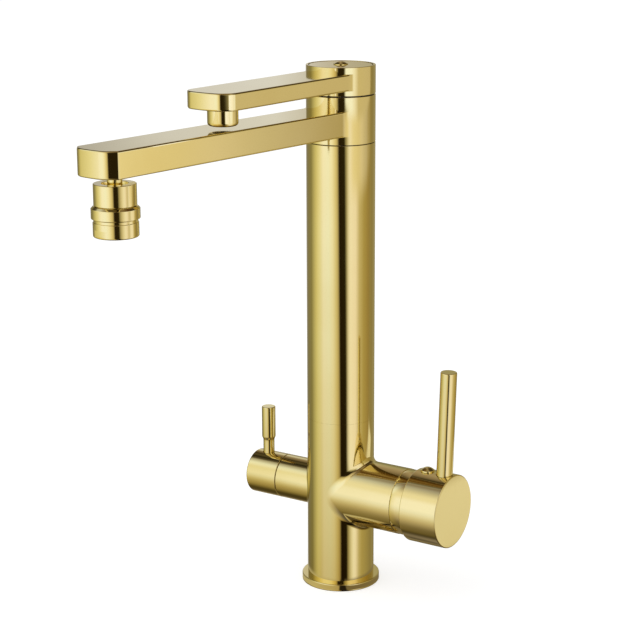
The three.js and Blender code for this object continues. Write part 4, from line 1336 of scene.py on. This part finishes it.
@dataclass
class Studio:
    """White floor and background, and the tent of soft panels and flags that the metal mirrors.

    Args:
        radius: radius of the tent, in metres.
        middle: height of its middle.
        around: light at the level of the tap by the angle from the camera, in degrees, positive
            to its right.
        overhead: light above the tap by the same angle.
        sinking: how the light falls off below the tap, by degrees under its middle.
    """

    radius: float = 1.1
    middle: float = 0.17
    around: tuple[tuple[float, Colour], ...] = (
        (-180, (0.52, 0.47, 0.36)), (-176, (0.74, 0.74, 0.74)), (-168, (0.68, 0.68, 0.7)),
        (-161, (0.42, 0.41, 0.4)), (-148, (0.24, 0.22, 0.16)), (-115, (0.28, 0.26, 0.13)),
        (-90, (0.72, 0.68, 0.4)), (-75, (0.92, 0.9, 0.7)), (-60, (1.08, 1.1, 1.24)), (-42, (1.06, 1.13, 1.3)),
        (-30, (1.05, 1.05, 1.05)), (-18, (0.84, 0.76, 0.52)), (-12, (0.62, 0.53, 0.33)),
        (-6, (0.02, 0.012, 0.005)), (12, (0.025, 0.018, 0.005)), (16, (0.3, 0.27, 0.17)),
        (22, (0.56, 0.5, 0.34)), (33, (0.86, 0.81, 0.72)), (43, (1.0, 0.98, 1.02)), (52, (0.98, 0.92, 0.95)),
        (66, (0.6, 0.52, 0.31)), (78, (0.48, 0.4, 0.18)), (125, (0.3, 0.25, 0.12)), (165, (0.38, 0.34, 0.22)),
        (176, (0.38, 0.36, 0.22)), (180, (0.52, 0.47, 0.36)))
    overhead: tuple[tuple[float, Colour], ...] = (
        (-180, (0.42, 0.34, 0.26)), (-168, (0.27, 0.21, 0.15)), (-156, (0.04, 0.03, 0.01)),
        (-147, (0.1, 0.08, 0.05)), (-138, (0.07, 0.06, 0.03)), (-129, (0.02, 0.015, 0.01)),
        (-118, (0.07, 0.06, 0.04)), (-110, (0.13, 0.11, 0.08)), (-100, (0.78, 0.82, 0.85)),
        (-86, (1.04, 1.14, 1.3)), (-72, (0.95, 0.93, 0.85)), (-45, (1.0, 0.93, 0.8)), (-12, (0.6, 0.5, 0.35)),
        (0, (0.05, 0.04, 0.03)), (14, (0.3, 0.25, 0.15)), (38, (0.75, 0.66, 0.5)), (62, (0.3, 0.22, 0.1)),
        (90, (0.07, 0.05, 0.02)), (150, (0.06, 0.04, 0.02)), (172, (0.25, 0.2, 0.14)),
        (180, (0.42, 0.34, 0.26)))
    sinking: tuple[tuple[float, Colour], ...] = (
        (-75, (0.08, 0.07, 0.06)), (-61, (0.12, 0.1, 0.08)), (-53, (0.22, 0.18, 0.12)),
        (-36, (0.54, 0.46, 0.3)), (-27, (0.69, 0.63, 0.46)), (-19, (0.83, 0.8, 0.7)),
        (-11, (0.91, 0.92, 0.9)), (-3, (1.0, 1.0, 1.0)))

    def build(self) -> None:
        """Builds the world, the floor, the tent, the cards and the lamp."""
        self.world()
        self.floor()
        self.tent()
        for card in CARDS:
            card.build()
        self.lamp()

    def world(self) -> None:
        """White behind the object, softer for the light that falls on it."""
        world = bpy.data.worlds.new("studio_world")
        bpy.context.scene.world = world
        tree = ShaderTree(world)
        camera, glossy, through = (tree.node("ShaderNodeLightPath", output=f"Is {kind} Ray")
                                   for kind in ("Camera", "Glossy", "Transmission"))
        strength = (camera + glossy + through).step(0.0, 1.0) * 0.35 + 0.65
        light = tree.node("ShaderNodeBackground", None, {"Color": rgba(WHITE), "Strength": strength})
        tree.node("ShaderNodeOutputWorld", None, {"Surface": light})

    def floor(self) -> None:
        """A plain floor, round and level, with some light of its own for the camera."""

        def shader(tree: ShaderTree) -> Wire:
            """Matt paint and, for the camera, a glow."""
            colour = tree.mix(tree.noise(40.0), rgba((0.6, 0.6, 0.6)), rgba((0.58, 0.58, 0.58)))
            matt = tree.node("ShaderNodeBsdfDiffuse", None, {"Color": colour})
            seen = tree.node("ShaderNodeLightPath", output="Is Camera Ray")
            glow = tree.node("ShaderNodeEmission", None, {"Color": rgba(WHITE), "Strength": seen * 0.66})
            return tree.node("ShaderNodeAddShader", None, {0: matt, 1: glow})

        disc = Skin(revolve(np.array([(0.0, 0.0), (900.0, 0.0), (9000.0, 0.0)])).points)
        mesh = bpy.data.meshes.new("floor")
        mesh.from_pydata(disc.points.reshape(-1, 3) * MM, [], disc.faces().tolist())
        stage_piece(mesh, painted("floor_paint", shader), ["glossy"])

    def tent(self) -> None:
        """A ball round the object whose inside glows by direction; only mirrors see it."""
        half = arc((0, 0), self.radius / MM, -90, 90, 48)
        mesh = raw_mesh("light_tent", [revolve(half).moved(z=self.middle / MM)])
        stage_piece(mesh, painted("tent_light", self.tent_shader), UNSEEN)

    def tent_shader(self, tree: ShaderTree) -> Wire:
        """Light of the tent by direction from its middle, in degrees.

        Formula: the light around is dimmed as it sinks, later on both sides than in front, and
        gives way to the overhead light between 15 and 33 degrees up. The black flag before the
        camera leans with the height. Four patches with soft edges are laid over the whole.

        Args:
            tree: the shader tree.

        Returns:
            The glow.
        """
        place = tree.position((0, 0, -self.middle), -CAMERA_SIDE)
        x, y, z = tree.axes(tree.node("ShaderNodeVectorMath", {"operation": "NORMALIZE"}, {0: place}))
        turn, height = bearing(x, y), z.maths("ARCSINE", z) * DEGREES
        aside, depth = turn.size(), -height
        lean = (depth - 3.0).clamped(-10, 25) * 0.35 * (1 - aside.step(20, 60))
        right = turn.step(15, 40) * (1 - turn.step(130, 165)) * (1 - depth.step(30, 44))
        left = (-turn).step(66, 90)
        lift = right * 22.0 + left * 9.0
        sunk = tree.ramp((height + lift).clamped(-75, -3), self.sinking)
        light = tree.mix(1.0, tree.ramp(turn - lean, self.around), sunk, "MULTIPLY")
        light = tree.mix(height.step(15, 33), light, tree.ramp(turn, self.overhead))
        patches = (
            (height.step(32, 66) * 0.85 * (1 - aside.step(98, 112)), (0.12, 0.06, 0.02)),  # high in front
            (height.step(66, 82), (0.3, 0.24, 0.15)),  # straight above
            (aside.step(168, 173) * (1 - height.step(8, 13)) * 0.45, (0.1, 0.08, 0.03)),  # low behind
            (depth.step(60, 69) * aside.step(95, 145), (0.27, 0.23, 0.2)))  # underneath, behind
        for cover, colour in patches:
            light = tree.mix(cover, light, rgba(colour))
        return tree.node("ShaderNodeEmission", None, {"Color": light, "Strength": 1.0})

    def lamp(self) -> None:
        """One large soft lamp from above, unseen in the metal, for the floor's shadow."""
        light = bpy.data.lights.new("soft_lamp", "AREA")
        light.shape, light.size, light.energy = "DISK", 1.6, 9.0
        lamp = bpy.data.objects.new("soft_lamp", light)
        lamp.location = (-0.6, -0.9, 2.0)
        lamp.rotation_euler = (Vector((0, 0, 0.1)) - lamp.location).to_track_quat("-Z", "Y").to_euler()
        lamp.visible_glossy = False
        bpy.context.scene.collection.objects.link(lamp)


@dataclass
class PhotoCamera:
    """The camera at the photograph's place."""

    place: tuple[float, float, float] = (604.47, -934.81, 458.34)
    side: float = CAMERA_SIDE
    pitch: float = 14.3137
    lens: float = 101.95
    shift: float = -0.0324

    def build(self) -> None:
        """Makes the camera and hands it to the scene."""
        lens = bpy.data.cameras.new("photo_camera")
        lens.lens, lens.sensor_width, lens.sensor_fit = self.lens, 36.0, "HORIZONTAL"
        lens.shift_x = self.shift
        lens.clip_start, lens.clip_end = 0.05, 50.0
        camera = bpy.data.objects.new("photo_camera", lens)
        side, pitch = np.radians(self.side), np.radians(self.pitch)
        gaze = Vector((-np.sin(side) * np.cos(pitch), np.cos(side) * np.cos(pitch), -np.sin(pitch)))
        camera.location = Vector(self.place) * MM
        camera.rotation_euler = gaze.to_track_quat("-Z", "Y").to_euler()
        bpy.context.scene.collection.objects.link(camera)
        bpy.context.scene.camera = camera


def main() -> None:
    """Builds the camera, the studio and every sub-assembly, and reports each piece."""
    logging.basicConfig(level=logging.INFO, format="%(message)s")
    bpy.context.scene.view_settings.view_transform = "Standard"
    PhotoCamera().build()
    Studio().build()
    palette = Palette()
    assemblies = [
        Base(palette, "root"), ValveBody(palette, "root"), Column(palette, "root"),
        MainSpout(palette, "main_spout"), AeratorHead(palette, "aerator_head"),
        FilterSpout(palette, "filter_spout"), MixerShroud(palette, "root"),
        MixerHandle(palette, "mixer_handle"), FilterHandle(palette, "filter_valve")]
    for assembly in assemblies:
        assembly.build()
        for piece in assembly.made:
            LOG.info("made %s on %s, %d faces", piece.name, assembly.body, len(piece.data.polygons))
    InnerParts(palette).build()


if __name__ == "__main__":
    main()
